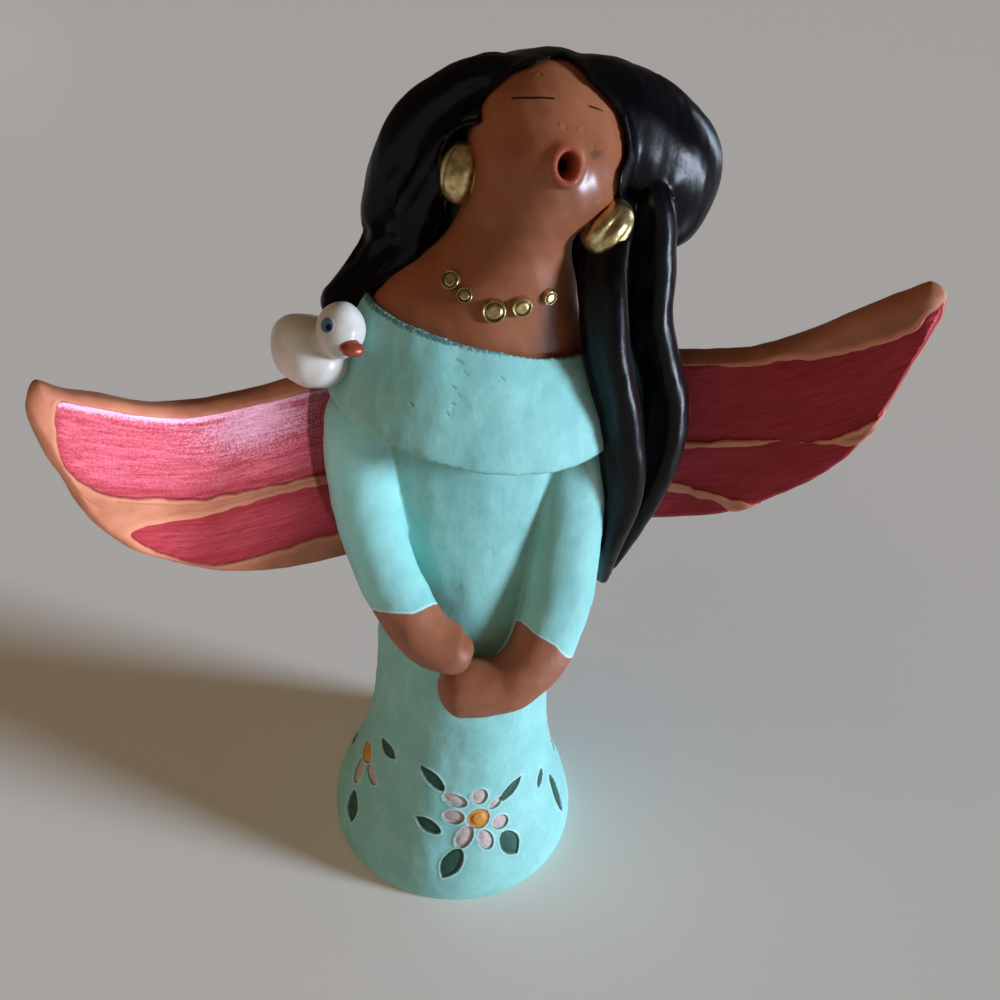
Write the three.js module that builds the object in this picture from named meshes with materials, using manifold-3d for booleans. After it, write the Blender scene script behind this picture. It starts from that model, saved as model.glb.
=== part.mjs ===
import * as THREE from 'three';
import { mergeVertices } from 'three/addons/utils/BufferGeometryUtils.js';
import Module from 'manifold-3d';

// A fired-clay angel, standing on its skirt, face towards -Y and up +Z, in millimetres and degrees.
// Everything is one piece of clay, so the forms below are joined into a single solid.

// driving dimensions
const baseRadius = 35.6;
const stemRadius = 23.2;
const hemHeight = 144.2;
const necklineHeight = 166.8;
const shoulderDrop = 13;
const headRadius = 16.2;
const headLean = 32;
const mouthRadius = 2.1;
const earringLength = 12.2;
const beadRadii = [2.3, 1.9, 2.9, 2.4, 2.0];
const beadHeight = 0.8;
const backLockCount = 5;
const wingThickness = 8;
const wingTipThickness = 5;
const panelDepth = 0.7;
const doveHeadRadius = 5.6;

const vec = (x, y, z) => new THREE.Vector3(x, y, z);
const rad = THREE.MathUtils.degToRad;

// a smooth curve through rows of three numbers
const curveThrough = (rows) => new THREE.CatmullRomCurve3(rows.map((row) => vec(...row)), false, 'catmullrom', 0.5);

// rows of x, y, z, half width, half depth and roll become one curve of places and one of sizes
function stations(rows) {
  const place = curveThrough(rows.map((row) => row.slice(0, 3)));
  const size = curveThrough(rows.map((row) => [row[3], row[4], row[5] ?? 0]));
  return { place, size };
}

// closed skin over rings of the same count, with a fan over each end
function skin(rings) {
  const count = rings[0].length;
  const last = rings.length - 1;
  const points = rings.flat();
  for (const ring of [rings[0], rings[last]]) {
    points.push(ring.reduce((sum, point) => sum.add(point), vec(0, 0, 0)).divideScalar(count));
  }
  const [firstTip, lastTip] = [points.length - 2, points.length - 1];
  const faces = [];
  for (let j = 0; j < count; j++) {
    const next = (j + 1) % count;
    for (let i = 0; i < last; i++) {
      const [a, b] = [i * count + j, i * count + next];
      faces.push(a, b, b + count, a, b + count, a + count);
    }
    faces.push(firstTip, next, j);
    faces.push(lastTip, last * count + j, last * count + next);
  }
  const geometry = new THREE.BufferGeometry().setFromPoints(points);
  geometry.setIndex(faces);
  return facingOut(geometry);
}

// turns every face over where the signed volume says that the skin is inside out
function facingOut(geometry) {
  const faces = geometry.index.array;
  const [a, b, c] = [vec(), vec(), vec()];
  let volume = 0;
  for (let i = 0; i < faces.length; i += 3) {
    [a, b, c].forEach((corner, k) => corner.fromBufferAttribute(geometry.attributes.position, faces[i + k]));
    volume += a.dot(b.cross(c));
  }
  if (volume < 0) geometry.setIndex(Array.from(faces).reverse());
  return geometry;
}

// a point on a stack of level rings, each rolled down towards +X; t climbs from 0 to 1
function stackPoint({ place, size }, t, angle) {
  const { x: wide, y: deep, z: roll } = size.getPoint(t);
  const across = wide * Math.cos(angle);
  const step = vec(across * Math.cos(rad(roll)), deep * Math.sin(angle), -across * Math.sin(rad(roll)));
  return place.getPoint(t).add(step);
}

function stackedBody(rows, rings, sides) {
  const body = stations(rows);
  const ringAt = (t) => Array.from({ length: sides }, (_, j) => stackPoint(body, t, 2 * Math.PI * j / sides));
  return skin(Array.from({ length: rings }, (_, i) => ringAt(i / (rings - 1))));
}

// a roll of clay with round ends; outward is the way that its half depth is measured
function limb(rows, outward, rings, sides) {
  const { place, size } = stations(rows);
  const length = place.getLength();
  const ringAt = (t) => {
    const centre = place.getPoint(t);
    const along = place.getTangent(THREE.MathUtils.clamp(t, 0.001, 0.999));
    const out = vec(...outward);
    out.addScaledVector(along, -out.dot(along)).normalize();
    const side = vec().crossVectors(along, out);
    const { x: wide, y: deep } = size.getPoint(t);
    const toEnd = Math.min(1, Math.min(t, 1 - t) * length / (0.9 * Math.min(wide, deep)));
    const fill = Math.max(0.03, Math.sqrt(1 - (1 - toEnd) ** 2));
    return Array.from({ length: sides }, (_, j) => {
      const angle = 2 * Math.PI * j / sides;
      const point = centre.clone().addScaledVector(side, fill * wide * Math.cos(angle));
      return point.addScaledVector(out, fill * deep * Math.sin(angle));
    });
  };
  // rings crowd towards both ends, where the clay rounds off
  return skin(Array.from({ length: rings }, (_, i) => ringAt(0.5 - 0.5 * Math.cos(Math.PI * i / (rings - 1)))));
}

// an egg with three radii, tilted about X, then Y, then Z
function egg(centre, radii, tilt, across, up) {
  const geometry = new THREE.SphereGeometry(1, across, up);
  geometry.rotateX(Math.PI / 2);
  geometry.scale(...radii);
  geometry.rotateX(rad(tilt[0]));
  geometry.rotateY(rad(tilt[1]));
  geometry.rotateZ(rad(tilt[2]));
  geometry.translate(...centre);
  return geometry;
}

// turns +Z to the given way and moves to the given place
function planted(geometry, way, place) {
  geometry.applyQuaternion(new THREE.Quaternion().setFromUnitVectors(vec(0, 0, 1), way.clone().normalize()));
  return geometry.translate(place.x, place.y, place.z);
}

function makeSkirtAndBodice() {
  const flare = (z, grow, x) => [x, 0, z, stemRadius + grow, stemRadius + grow, 0];
  const spread = baseRadius - stemRadius;
  const rows = [
    flare(0, spread - 1, 0), flare(1.5, spread, -0.2), flare(6, spread - 0.3, -0.4), flare(13, 0.82 * spread, -0.6),
    flare(21, 0.6 * spread, -0.6), flare(30, 0.36 * spread, -0.4), flare(42, 0.15 * spread, -0.1),
    flare(58, 0.05 * spread, 0), flare(74, 0, 0),
    [0, 0.5, 90, 23.0, 22.2, 0], [-0.3, 1, 106, 24.3, 20.5, 0], [-0.8, 1.5, 122, 26.8, 19, 2],
    [-1, 2, 138, 28, 18, 6], [-1, 2, 152, 27, 17, 8],
  ];
  return stackedBody(rows, 26, 30);
}

// bare shoulders that slope down to +X and rise into the leaning neck
const shoulderRows = [
  [-1, 2, 148, 26, 16, 8], [-0.5, 2, 158, 26, 16.3, 12], [0, 2, 165, 25, 15.6, shoulderDrop],
  [1.4, 2, 170.5, 22.4, 14.6, 14], [3, 1.5, 175.5, 18.2, 13.6, 14], [4.6, 1, 180.5, 15, 12.9, 13],
  [5, 0.5, 185.5, 12.8, 12.4, 11], [5.8, 0, 190, 12.0, 12.3, 9], [7.2, 0, 196, 12.4, 12.8, 6], [9, 1, 203, 10, 10, 4],
];

function makeShouldersAndNeck() {
  return stackedBody(shoulderRows, 13, 22);
}

// the wide collar: down from the neckline to a hem that stands clear, then back under
function makeFlounce() {
  const lip = 1.2;
  const rows = [
    [0, 1.5, necklineHeight - 6.5, 22, 13, shoulderDrop],
    [0.3, 1.5, necklineHeight, 25.6, 16, shoulderDrop],
    [0.1, 1, necklineHeight - 0.8, 27, 17.2, shoulderDrop],
    [-0.4, 0.2, 159.3, 30, 20.2, 12.5],
    [-0.8, -0.8, 151.5, 32.2, 22.6, 11],
    [-1.1, -1.4, hemHeight, 33.6, 24, 9.5],
    [-1.1, -1.2, hemHeight - 0.6, 33.6 - lip, 24 - lip, 9.5],
    [-1.1, -0.5, hemHeight + 2, 26, 17, 9.5],
  ];
  return stackedBody(rows, 14, 30);
}

// both arms come down from under the flounce and meet in front, the +X hand beneath
function makeArms() {
  const outward = [0, -1, 0.25];
  const upperArm = [
    [-26, -1, 152, 8, 8], [-27.1, -5, 140, 8.3, 8], [-26.4, -12, 125.5, 7.8, 7.6], [-22, -20.5, 111.5, 7.2, 7],
    [-15.4, -26.8, 100.6, 6.9, 6.2], [-8.2, -29.8, 94.9, 6.6, 5.8], [-2.6, -30.2, 93.4, 5.4, 5],
  ];
  const lowerArm = [
    [22.6, -1, 147, 8.8, 8], [21.8, -7, 132, 9.0, 8], [20.9, -13, 116, 8.8, 7.8], [18.9, -19.5, 100.5, 8.4, 7.4],
    [14.3, -25, 88, 8, 6.8], [6, -28.2, 81.2, 7.4, 6.4], [-4, -28.2, 80, 7.0, 6.2], [-10.5, -27, 79.6, 6.4, 5.6],
  ];
  return [limb(upperArm, outward, 15, 12), limb(lowerArm, outward, 17, 12)];
}

// head thrown back, with pursed lips raised round an open mouth
const headCentre = vec(10.7, 1, 204.4);
const faceWay = vec(-0.02, -Math.cos(rad(20)), Math.sin(rad(20)));
const mouthPlace = vec(11.2, -15.1, 206.6);

function makeHead() {
  return egg(headCentre.toArray(), [headRadius, 15.6, 17.2], [-headLean, -12, 0], 18, 13);
}

function makeLips() {
  return planted(new THREE.TorusGeometry(mouthRadius + 0.9, 0.9, 6, 14), faceWay, mouthPlace);
}

function makeMouthHollow() {
  const hollow = egg([0, 0, 0], [mouthRadius, mouthRadius * 1.15, 6], [0, 0, 0], 10, 7);
  return planted(hollow, faceWay, mouthPlace);
}

function makeEarrings() {
  const half = earringLength / 2;
  return [
    egg([-6.4, 0, 199.8], [3.6, 3.4, half], [0, 8, 0], 10, 7),
    egg([23.4, -6, 191.3], [4, 4.8, half], [0, 34, 0], 10, 7),
  ];
}

// flat stamped beads on the foot of the neck: bearings from the front and how far up the shoulders' rows
function makeNecklace() {
  const bearings = [-47, -31, -9, 7, 27];
  const climbs = [0.483, 0.455, 0.428, 0.462, 0.5];
  const body = stations(shoulderRows);
  return beadRadii.map((radius, i) => {
    const angle = rad(bearings[i] - 90);
    const place = stackPoint(body, climbs[i], angle);
    const up = stackPoint(body, climbs[i] + 0.01, angle).sub(place);
    const around = stackPoint(body, climbs[i], angle + 0.01).sub(place);
    const bead = new THREE.CylinderGeometry(radius, radius, 2 * beadHeight, 10).rotateX(Math.PI / 2);
    return planted(bead, around.cross(up), place);
  });
}

// hair: a cap behind the face, a curtain to the -X shoulder, a full roll on the +X side and long locks
function makeHair() {
  const curtain = [
    [9, 4, 214.5, 7, 7], [-1, 5, 211, 10.6, 8.5], [-10.4, 7, 202, 12, 8], [-15.2, 9, 188, 11.2, 7.5],
    [-19.2, 8, 177.5, 8.6, 7.2], [-33.4, 6.5, 164, 5.4, 5],
  ];
  const roll = [
    [10, 3, 215.6, 7, 7], [20, 2, 212.4, 10, 8.5], [30.5, 4, 206.6, 11.6, 10], [38, 6, 199, 11.8, 10],
    [38.5, 6, 190, 9.4, 8], [34, 4, 182, 6, 6],
  ];
  const innerLock = [
    [26, 0, 196, 5.5, 5], [23.4, -8.6, 182, 5.4, 6.4], [24.6, -12.2, 166, 6.3, 6.8], [29.8, -12.8, 148, 6.7, 6.8],
    [32.9, -12.2, 130, 6.2, 6.8], [32.1, -10.6, 112, 4.8, 5.4], [33, -8, 96, 2.2, 2.6],
  ];
  const outerLock = [
    [36, 3, 192, 6, 6], [36, 0, 180, 6.2, 6.4], [37, -2, 166, 6.3, 6.4], [42.9, -3, 149, 6.6, 6.8],
    [43.5, -4, 133, 6.6, 6.8], [38.6, -5, 115, 5.8, 5.8], [34.6, -6, 98, 2.2, 2.6],
  ];
  const forms = [
    egg([11, 9.5, 203.5], [20.5, 15, 16.6], [0, 10, 0], 14, 10),
    egg([-1, 11, 183.5], [11.8, 7.5, 15], [0, 0, 0], 10, 8),
    limb(curtain, [-0.3, -1, 0], 14, 12),
    limb(roll, [0, -1, 0.2], 14, 12),
    limb(innerLock, [0.1, -1, 0], 16, 10),
    limb(outerLock, [0.3, -1, 0], 16, 10),
  ];
  for (let i = 0; i < backLockCount; i++) forms.push(makeBackLock(2 * i / (backLockCount - 1) - 1));
  return forms;
}

// one lock down the back; across runs from -1 at the -X edge to 1 at the +X edge
function makeBackLock(across) {
  const edge = across * across;
  const tipHeight = 94 + 13 * edge;
  const rows = [
    [11 + 9 * across, 13 - 2 * edge, 212 - 3 * edge, 6, 6],
    [9 + 16 * across, 19 - 4 * edge, 196, 7.4, 8],
    [5 + 20 * across, 19 - 2 * edge, 178, 7.6, 7.5],
    [3 + 19.5 * across, 20.5 - 1.5 * edge, 158, 7.4, 7],
    [3 + 17 * across, 21.5 - edge, 136, 6.6, 6.5],
    [3 + 13 * across, 20 - edge, 116, 5.4, 5.5],
    [3 + 8 * across, 18.5, tipHeight, 2.2, 2.6],
  ];
  return limb(rows, [0.3 * across, 1, 0], 13, 8);
}

// a wing is a slab between a top and a bottom edge, thinner towards its tip
const wingEdges = {
  left: {
    top: [[-8, 16, 145.4], [-30, 14.5, 146.4], [-50, 9.5, 144.6], [-68, 2, 145.7], [-83, -7, 154.4], [-91.6, -13.8, 161.9]],
    low: [[-8, 14.5, 93], [-30, 14, 91.4], [-48, 10, 91], [-66, 3, 97.8], [-85, -8.6, 119], [-94.3, -15, 154]],
  },
  right: {
    top: [[8, 16, 147.3], [32, 14.2, 149.8], [55, 7.8, 153], [70, 1, 159], [84, -7.5, 171.6], [94.8, -14.8, 182.2]],
    low: [[8, 14.5, 98], [32, 14, 99.5], [54, 8.2, 102.5], [72, -0.5, 111.4], [90.3, -11, 134.6], [99, -16.4, 176.8]],
  },
};

function wingFrame({ top, low }) {
  const topEdge = curveThrough(top);
  const lowEdge = curveThrough(low);
  return (t) => {
    const high = topEdge.getPoint(t);
    const down = lowEdge.getPoint(t).sub(high);
    const height = down.length();
    down.normalize();
    const span = topEdge.getTangent(t).add(lowEdge.getTangent(t));
    const front = vec().crossVectors(span, down).normalize();
    if (front.y > 0) front.negate();
    return { high, down, height, front, half: THREE.MathUtils.lerp(wingThickness, wingTipThickness, t * t) / 2 };
  };
}

function makeWing(edges) {
  const frameAt = wingFrame(edges);
  const rings = 18;
  const cornerSteps = 2;
  const ringAt = (t) => {
    const { high, down, height, front, half } = frameAt(t);
    const corner = 0.8 * half;
    const ring = [];
    for (let quarter = 0; quarter < 4; quarter++) {
      const signDown = [1, -1, -1, 1][quarter];
      const signFront = [1, 1, -1, -1][quarter];
      for (let step = 0; step <= cornerSteps; step++) {
        const angle = Math.PI / 2 * (quarter + step / cornerSteps);
        const drop = height / 2 + signDown * (height / 2 - corner) + corner * Math.cos(angle);
        const out = signFront * (half - corner) + corner * Math.sin(angle);
        ring.push(high.clone().addScaledVector(down, drop).addScaledVector(front, out));
      }
    }
    return ring;
  };
  return skin(Array.from({ length: rings }, (_, i) => ringAt(i / (rings - 1))));
}

// sunk feather fields on the front of a wing: from and to run along the span,
// high and low are the depths below the top edge, as parts of the wing's height, at start, middle and end
const panels = {
  left: [
    { from: 0.3, to: 0.92, high: [0.07, 0.085, 0.18], low: [0.45, 0.54, 0.78] },
    { from: 0.3, to: 0.7, high: [0.5, 0.6, 0.82], low: [0.8, 0.87, 0.89] },
  ],
  right: [
    { from: 0.3, to: 0.95, high: [0.07, 0.11, 0.36], low: [0.45, 0.53, 0.88] },
    { from: 0.3, to: 0.78, high: [0.5, 0.58, 0.8], low: [0.67, 0.9, 0.88] },
    { from: 0.3, to: 0.52, high: [0.72, 0.8, 0.91], low: [0.94, 0.94, 0.95] },
  ],
};

function makePanelCut(edges, { from, to, high, low }) {
  const frameAt = wingFrame(edges);
  const steps = 8;
  const along = (values, u) => curveThrough(values.map((value) => [value, 0, 0])).getPoint(u).x;
  const ringAt = (u) => {
    const frame = frameAt(THREE.MathUtils.lerp(from, to, u));
    const point = (part, out) => {
      const start = frame.high.clone().addScaledVector(frame.down, part * frame.height);
      return start.addScaledVector(frame.front, out);
    };
    const [a, b] = [along(high, u), along(low, u)];
    const [floor, clear] = [frame.half - panelDepth, frame.half + panelDepth];
    return [point(a, floor), point(b, floor), point(b, clear), point(a, clear)];
  };
  return skin(Array.from({ length: steps }, (_, i) => ringAt(i / (steps - 1))));
}

// a small dove tucked against the -X shoulder
function makeDove() {
  const headCentreOfDove = vec(-31.2, -9.5, 169.6);
  const beakWay = vec(0.35, -0.8, -0.35).normalize();
  const beak = new THREE.ConeGeometry(2, 4.6, 10).rotateX(Math.PI / 2);
  const beakPlace = headCentreOfDove.clone().addScaledVector(beakWay, doveHeadRadius + 1);
  return [
    egg([-37.2, -3, 161.3], [8.8, 8.6, 7.4], [0, 20, 0], 12, 9),
    egg([-41, -1.5, 164.2], [4.4, 5.5, 4.1], [0, 20, 0], 10, 7),
    egg(headCentreOfDove.toArray(), [doveHeadRadius, doveHeadRadius, doveHeadRadius], [0, 0, 0], 12, 9),
    planted(beak, beakWay, beakPlace),
  ];
}

// solids are joined and cut here
const wasm = await Module();
wasm.setup();

function toSolid(geometry) {
  const bare = geometry.clone();
  bare.deleteAttribute('normal');
  bare.deleteAttribute('uv');
  const merged = mergeVertices(bare, 1e-5);
  return new wasm.Manifold(new wasm.Mesh({
    numProp: 3,
    vertProperties: new Float32Array(merged.attributes.position.array),
    triVerts: new Uint32Array(merged.index.array),
  }));
}

function toGeometry(solid) {
  const { vertProperties, triVerts } = solid.getMesh();
  const geometry = new THREE.BufferGeometry();
  geometry.setAttribute('position', new THREE.BufferAttribute(vertProperties, 3));
  geometry.setIndex(new THREE.BufferAttribute(triVerts, 1));
  return geometry;
}

function makeWingWithPanels(side) {
  const cuts = panels[side].map((panel) => toSolid(makePanelCut(wingEdges[side], panel)));
  return cuts.reduce((wing, cut) => wing.subtract(cut), toSolid(makeWing(wingEdges[side])));
}

function makeFigurine() {
  const forms = [
    makeSkirtAndBodice(), makeShouldersAndNeck(), makeFlounce(), ...makeArms(),
    makeHead(), makeLips(), ...makeEarrings(), ...makeNecklace(), ...makeHair(), ...makeDove(),
  ];
  const body = forms.map(toSolid).reduce((whole, form) => whole.add(form));
  const winged = body.add(makeWingWithPanels('left')).add(makeWingWithPanels('right'));
  return toGeometry(winged.subtract(toSolid(makeMouthHollow())));
}

const firedClay = new THREE.MeshStandardMaterial({ color: '#7fc9bf', roughness: 0.55, metalness: 0 });
const figurine = new THREE.Mesh(makeFigurine(), firedClay);
figurine.name = 'angel_figurine';

const model = new THREE.Group();
model.add(figurine);

export default model;
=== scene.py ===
import math

import bpy
import numpy as np
import openvdb as vdb
from mathutils import Euler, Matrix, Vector


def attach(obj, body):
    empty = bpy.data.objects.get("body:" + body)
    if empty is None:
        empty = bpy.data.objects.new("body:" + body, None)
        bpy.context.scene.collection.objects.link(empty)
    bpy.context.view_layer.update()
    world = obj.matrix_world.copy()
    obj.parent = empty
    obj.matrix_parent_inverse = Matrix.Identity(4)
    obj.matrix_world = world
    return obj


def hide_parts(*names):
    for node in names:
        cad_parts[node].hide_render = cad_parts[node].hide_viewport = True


# Looks for the fired-clay angel. Shapes are worked in millimetres and scaled to metres when a mesh is made.

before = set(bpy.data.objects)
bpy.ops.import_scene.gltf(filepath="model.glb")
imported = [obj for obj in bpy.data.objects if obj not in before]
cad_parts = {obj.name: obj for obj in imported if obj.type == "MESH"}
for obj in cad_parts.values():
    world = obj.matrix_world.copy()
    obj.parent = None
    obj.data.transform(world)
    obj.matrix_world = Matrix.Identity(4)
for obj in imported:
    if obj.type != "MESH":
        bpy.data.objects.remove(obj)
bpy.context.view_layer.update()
scene = bpy.context.scene
scene.view_settings.view_transform = "Standard"


def addObject(name, data):
    made = bpy.data.objects.new(name, data)
    scene.collection.objects.link(made)
    return made


# camera: a hand-held shot from above, in front and a little towards -X

shot = dict(place=(-36.744, -208.385, 277.9), turn=(52.7859, -3.77, -8.9514), lens=38.88)

camera = addObject("camera", bpy.data.cameras.new("camera"))
camera.data.lens = shot["lens"]
camera.data.clip_start = 0.01
camera.location = [0.001 * value for value in shot["place"]]
camera.rotation_euler = Euler([math.radians(angle) for angle in shot["turn"]], "XYZ")
scene.camera = camera
print("camera placed")


# one way to add a node, and sums on its sockets

class Wire:
    def __init__(self, tree, socket):
        self.tree = tree
        self.socket = socket

    @staticmethod
    def node(tree, kind, settings=None, inputs=None, output=0):
        made = tree.nodes.new(kind)
        for name, value in (settings or {}).items():
            setattr(made, name, value)
        for key, value in (inputs or {}).items():
            if isinstance(value, Wire):
                tree.links.new(value.socket, made.inputs[key])
            else:
                made.inputs[key].default_value = value
        return Wire(tree, made.outputs[output])

    def other(self, output):
        return Wire(self.tree, self.socket.node.outputs[output])

    def math(self, operation, *others):
        values = dict(enumerate((self, *others)))
        return Wire.node(self.tree, "ShaderNodeMath", {"operation": operation}, values)

    def vector(self, operation, other, output=0):
        values = {0: self, 1: other}
        return Wire.node(self.tree, "ShaderNodeVectorMath", {"operation": operation}, values, output)

    def scaled(self, factor):
        values = {0: self, "Scale": factor}
        return Wire.node(self.tree, "ShaderNodeVectorMath", {"operation": "SCALE"}, values)

    def dot(self, other):
        return self.vector("DOT_PRODUCT", other, "Value")

    def __add__(self, other):
        return self.math("ADD", other)

    __radd__ = __add__

    def __sub__(self, other):
        return self.math("SUBTRACT", other)

    def __rsub__(self, other):
        return Wire.node(self.tree, "ShaderNodeMath", {"operation": "SUBTRACT"}, {0: other, 1: self})

    def __mul__(self, other):
        return self.math("MULTIPLY", other)

    __rmul__ = __mul__

    def fade(self, low, high):
        # 0 below low, 1 above high, smooth between
        settings = {"interpolation_type": "SMOOTHSTEP"}
        inputs = {"Value": self, "From Min": low, "From Max": high}
        return Wire.node(self.tree, "ShaderNodeMapRange", settings, inputs)


# clay forms as plain arrays

def curveAt(rows, t):
    # Catmull-Rom through the rows, t from 0 to 1
    rows = np.asarray(rows, float)
    ends = np.vstack([2 * rows[0] - rows[1], rows, 2 * rows[-1] - rows[-2]])
    place = np.asarray(t) * (len(rows) - 1)
    index = np.clip(np.floor(place).astype(int), 0, len(rows) - 2)
    w = (place - index)[:, None]
    a, b, c, d = (ends[index + k] for k in range(4))
    square, cube = (2 * a - 5 * b + 4 * c - d) * w ** 2, (3 * b - a - 3 * c + d) * w ** 3
    return 0.5 * (2 * b + (c - a) * w + square + cube)


def unit(vectors):
    vectors = np.asarray(vectors, float)
    return vectors / np.maximum(np.linalg.norm(vectors, axis=-1, keepdims=True), 1e-9)


def turn(tilt):
    # turns about X, then Y, then Z
    return np.array(Euler([math.radians(angle) for angle in tilt], "XYZ").to_matrix())


def closedSkin(rings):
    # triangles over rings of one count, with a fan on both ends, facing out
    rings = np.asarray(rings, float)
    count, sides = rings.shape[:2]
    points = np.vstack([rings.reshape(-1, 3), rings[0].mean(0), rings[-1].mean(0)])
    i, j = np.meshgrid(np.arange(count - 1), np.arange(sides), indexing="ij")
    a, b = (i * sides + j).ravel(), (i * sides + (j + 1) % sides).ravel()
    j = np.arange(sides)
    k = (j + 1) % sides
    last = (count - 1) * sides
    head, tail = np.full(sides, count * sides), np.full(sides, count * sides + 1)
    faces = np.vstack([
        np.stack([a, b, b + sides], 1), np.stack([a, b + sides, a + sides], 1),
        np.stack([head, k, j], 1), np.stack([tail, last + j, last + k], 1),
    ])
    return facingOut(points, faces)


def facingOut(points, faces):
    a, b, c = (points[faces[:, k]] for k in range(3))
    volume = np.einsum("ij,ij->i", a, np.cross(b, c)).sum()
    return points, faces if volume > 0 else faces[:, ::-1]


def stackForm(rows, rings=110, sides=140):
    # level rings from rows of x, y, z, half width, half depth and roll down to +X
    x, y, z, wide, deep, roll = curveAt(rows, np.linspace(0, 1, rings)).T[:, :, None]
    angle = np.linspace(0, 2 * math.pi, sides, endpoint=False)[None]
    roll = np.radians(roll)
    across = wide * np.cos(angle)
    rings = [x + across * np.cos(roll), y + deep * np.sin(angle), z - across * np.sin(roll)]
    return closedSkin(np.stack(rings, -1))


def eggForm(centre, radii, tilt=(0, 0, 0), rings=48, sides=64):
    polar = np.linspace(0.03, math.pi - 0.03, rings)[:, None]
    angle = np.linspace(0, 2 * math.pi, sides, endpoint=False)[None]
    ball = np.stack([np.sin(polar) * np.cos(angle), np.sin(polar) * np.sin(angle),
                     np.cos(polar) * np.ones_like(angle)], -1)
    return closedSkin(ball * radii @ turn(tilt).T + centre)


def facing(way):
    # two directions square to a way, and the way itself, as rows
    way = unit(way)
    side = unit(np.cross(way, [0, 0, 1]))
    return np.array([side, np.cross(side, way), way])


def waves(points, size, seed, count=9):
    # smooth seeded unevenness between about -1 and 1, with bumps of a size in mm
    random = np.random.default_rng(seed)
    ways = unit(random.normal(size=(count, 3))) * random.uniform(0.7, 1.4, (count, 1)) * 2 * math.pi / size
    shift = random.uniform(0, 2 * math.pi, count)
    return np.sin(points @ ways.T + shift).sum(1) / math.sqrt(count)


def unevenness(points, layers):
    # layers of height and size in mm, and a seed
    return sum(height * waves(points, size, seed) for height, size, seed in layers)


def lineDistance(points, corners):
    best = np.full(len(points), 1e3)
    for a, b in zip(corners[:-1], corners[1:]):
        a, b = np.array(a), np.array(b)
        part = np.clip((points - a) @ (b - a) / ((b - a) @ (b - a)), 0, 1)
        best = np.minimum(best, np.linalg.norm(points - a - part[:, None] * (b - a), axis=1))
    return best


def storeField(mesh, name, values):
    # a number or a direction for each point
    values = np.asarray(values, np.float32)
    kind, key = ("FLOAT", "value") if values.ndim == 1 else ("FLOAT_VECTOR", "vector")
    mesh.attributes.new(name, kind, "POINT").data.foreach_set(key, values.ravel())


def evaluatedMesh(piece):
    # the piece with its modifiers as a plain mesh
    graph = bpy.context.evaluated_depsgraph_get()
    graph.update()
    final = piece.evaluated_get(graph)
    return bpy.data.meshes.new_from_object(final, preserve_all_data_layers=True, depsgraph=graph)


# geometry trees, and rolls of clay along a path: arms and locks of hair

def newTree(name, result, **inputs):
    # an empty group with its inputs, and the identifier of each
    tree = bpy.data.node_groups.new(name, "GeometryNodeTree")
    tree.is_modifier = True
    sockets = {}
    for key, kind in inputs.items():
        made = tree.interface.new_socket(key, in_out="INPUT", socket_type="NodeSocket" + kind)
        sockets[key] = made.identifier
    tree.interface.new_socket(result, in_out="OUTPUT", socket_type="NodeSocketGeometry")
    return tree, sockets, Wire.node(tree, "NodeGroupInput")


def stored(tree, name, kind="FLOAT_VECTOR"):
    settings = {"data_type": kind}
    return Wire.node(tree, "GeometryNodeInputNamedAttribute", settings, {"Name": name}, "Attribute")


def endTree(result):
    end = result.tree.nodes.new("NodeGroupOutput")
    result.tree.links.new(result.socket, end.inputs[0])


def grownMesh(mesh, tree, sockets, inputs):
    # what a geometry tree makes of a plain mesh, which is removed
    holder = addObject("holder", mesh)
    growth = holder.modifiers.new("growth", "NODES")
    growth.node_group = tree
    for name, value in inputs.items():
        growth[sockets[name]] = value
    made = evaluatedMesh(holder)
    bpy.data.objects.remove(holder)
    bpy.data.meshes.remove(mesh)
    return made


def makeRollTree():
    tree, sockets, path = newTree("clayRoll", "Roll", path="Geometry", sides="Int", grooves="Float",
                                  depth="Float", bearing="Float", narrow="Float", wander="Float",
                                  seed="Float")
    line = Wire.node(tree, "GeometryNodeMeshToCurve", inputs={"Mesh": path})
    place = Wire.node(tree, "GeometryNodeInputPosition")
    kept = Wire.node(tree, "GeometryNodeStoreNamedAttribute", {"data_type": "FLOAT_VECTOR"},
                     {"Geometry": line, "Name": "centre", "Value": place})
    ring = Wire.node(tree, "GeometryNodeCurvePrimitiveCircle",
                     inputs={"Resolution": path.other("sides"), "Radius": 1.0})
    swept = Wire.node(tree, "GeometryNodeCurveToMesh",
                      inputs={"Curve": kept, "Profile Curve": ring, "Fill Caps": True})
    centre, side, out = (stored(tree, name) for name in ("centre", "sideWay", "outWay"))
    wide, deep = stored(tree, "halfWide", "FLOAT"), stored(tree, "halfDeep", "FLOAT")
    along, fill = stored(tree, "along", "FLOAT"), stored(tree, "fill", "FLOAT")
    offset = place.vector("SUBTRACT", centre)
    across, proud = offset.dot(side), offset.dot(out)
    angle = proud.math("ARCTAN2", across)
    shift = along.vector("MULTIPLY", (0.05, 0.05, 0.05))
    drift = Wire.node(tree, "ShaderNodeTexNoise", {"noise_dimensions": "4D"},
                      {"Vector": shift, "W": path.other("seed"), "Scale": 1.0, "Detail": 1.0})
    swing = (drift - 0.5) * path.other("wander") - path.other("bearing")
    wave = ((angle + swing) * path.other("grooves")).math("COSINE")
    groove = ((wave + 1) * 0.5).math("POWER", path.other("narrow"))
    squeeze = 1 - groove * path.other("depth") * fill
    reach = side.scaled(across * wide).vector("ADD", out.scaled(proud * deep))
    moved = Wire.node(tree, "GeometryNodeSetPosition",
                      inputs={"Geometry": swept, "Position": centre.vector("ADD", reach.scaled(squeeze))})
    whole = Wire.node(tree, "GeometryNodeRealizeInstances", inputs={"Geometry": moved})
    endTree(Wire.node(tree, "GeometryNodeSetMaterial", inputs={"Geometry": whole}))
    return tree, sockets


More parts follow.
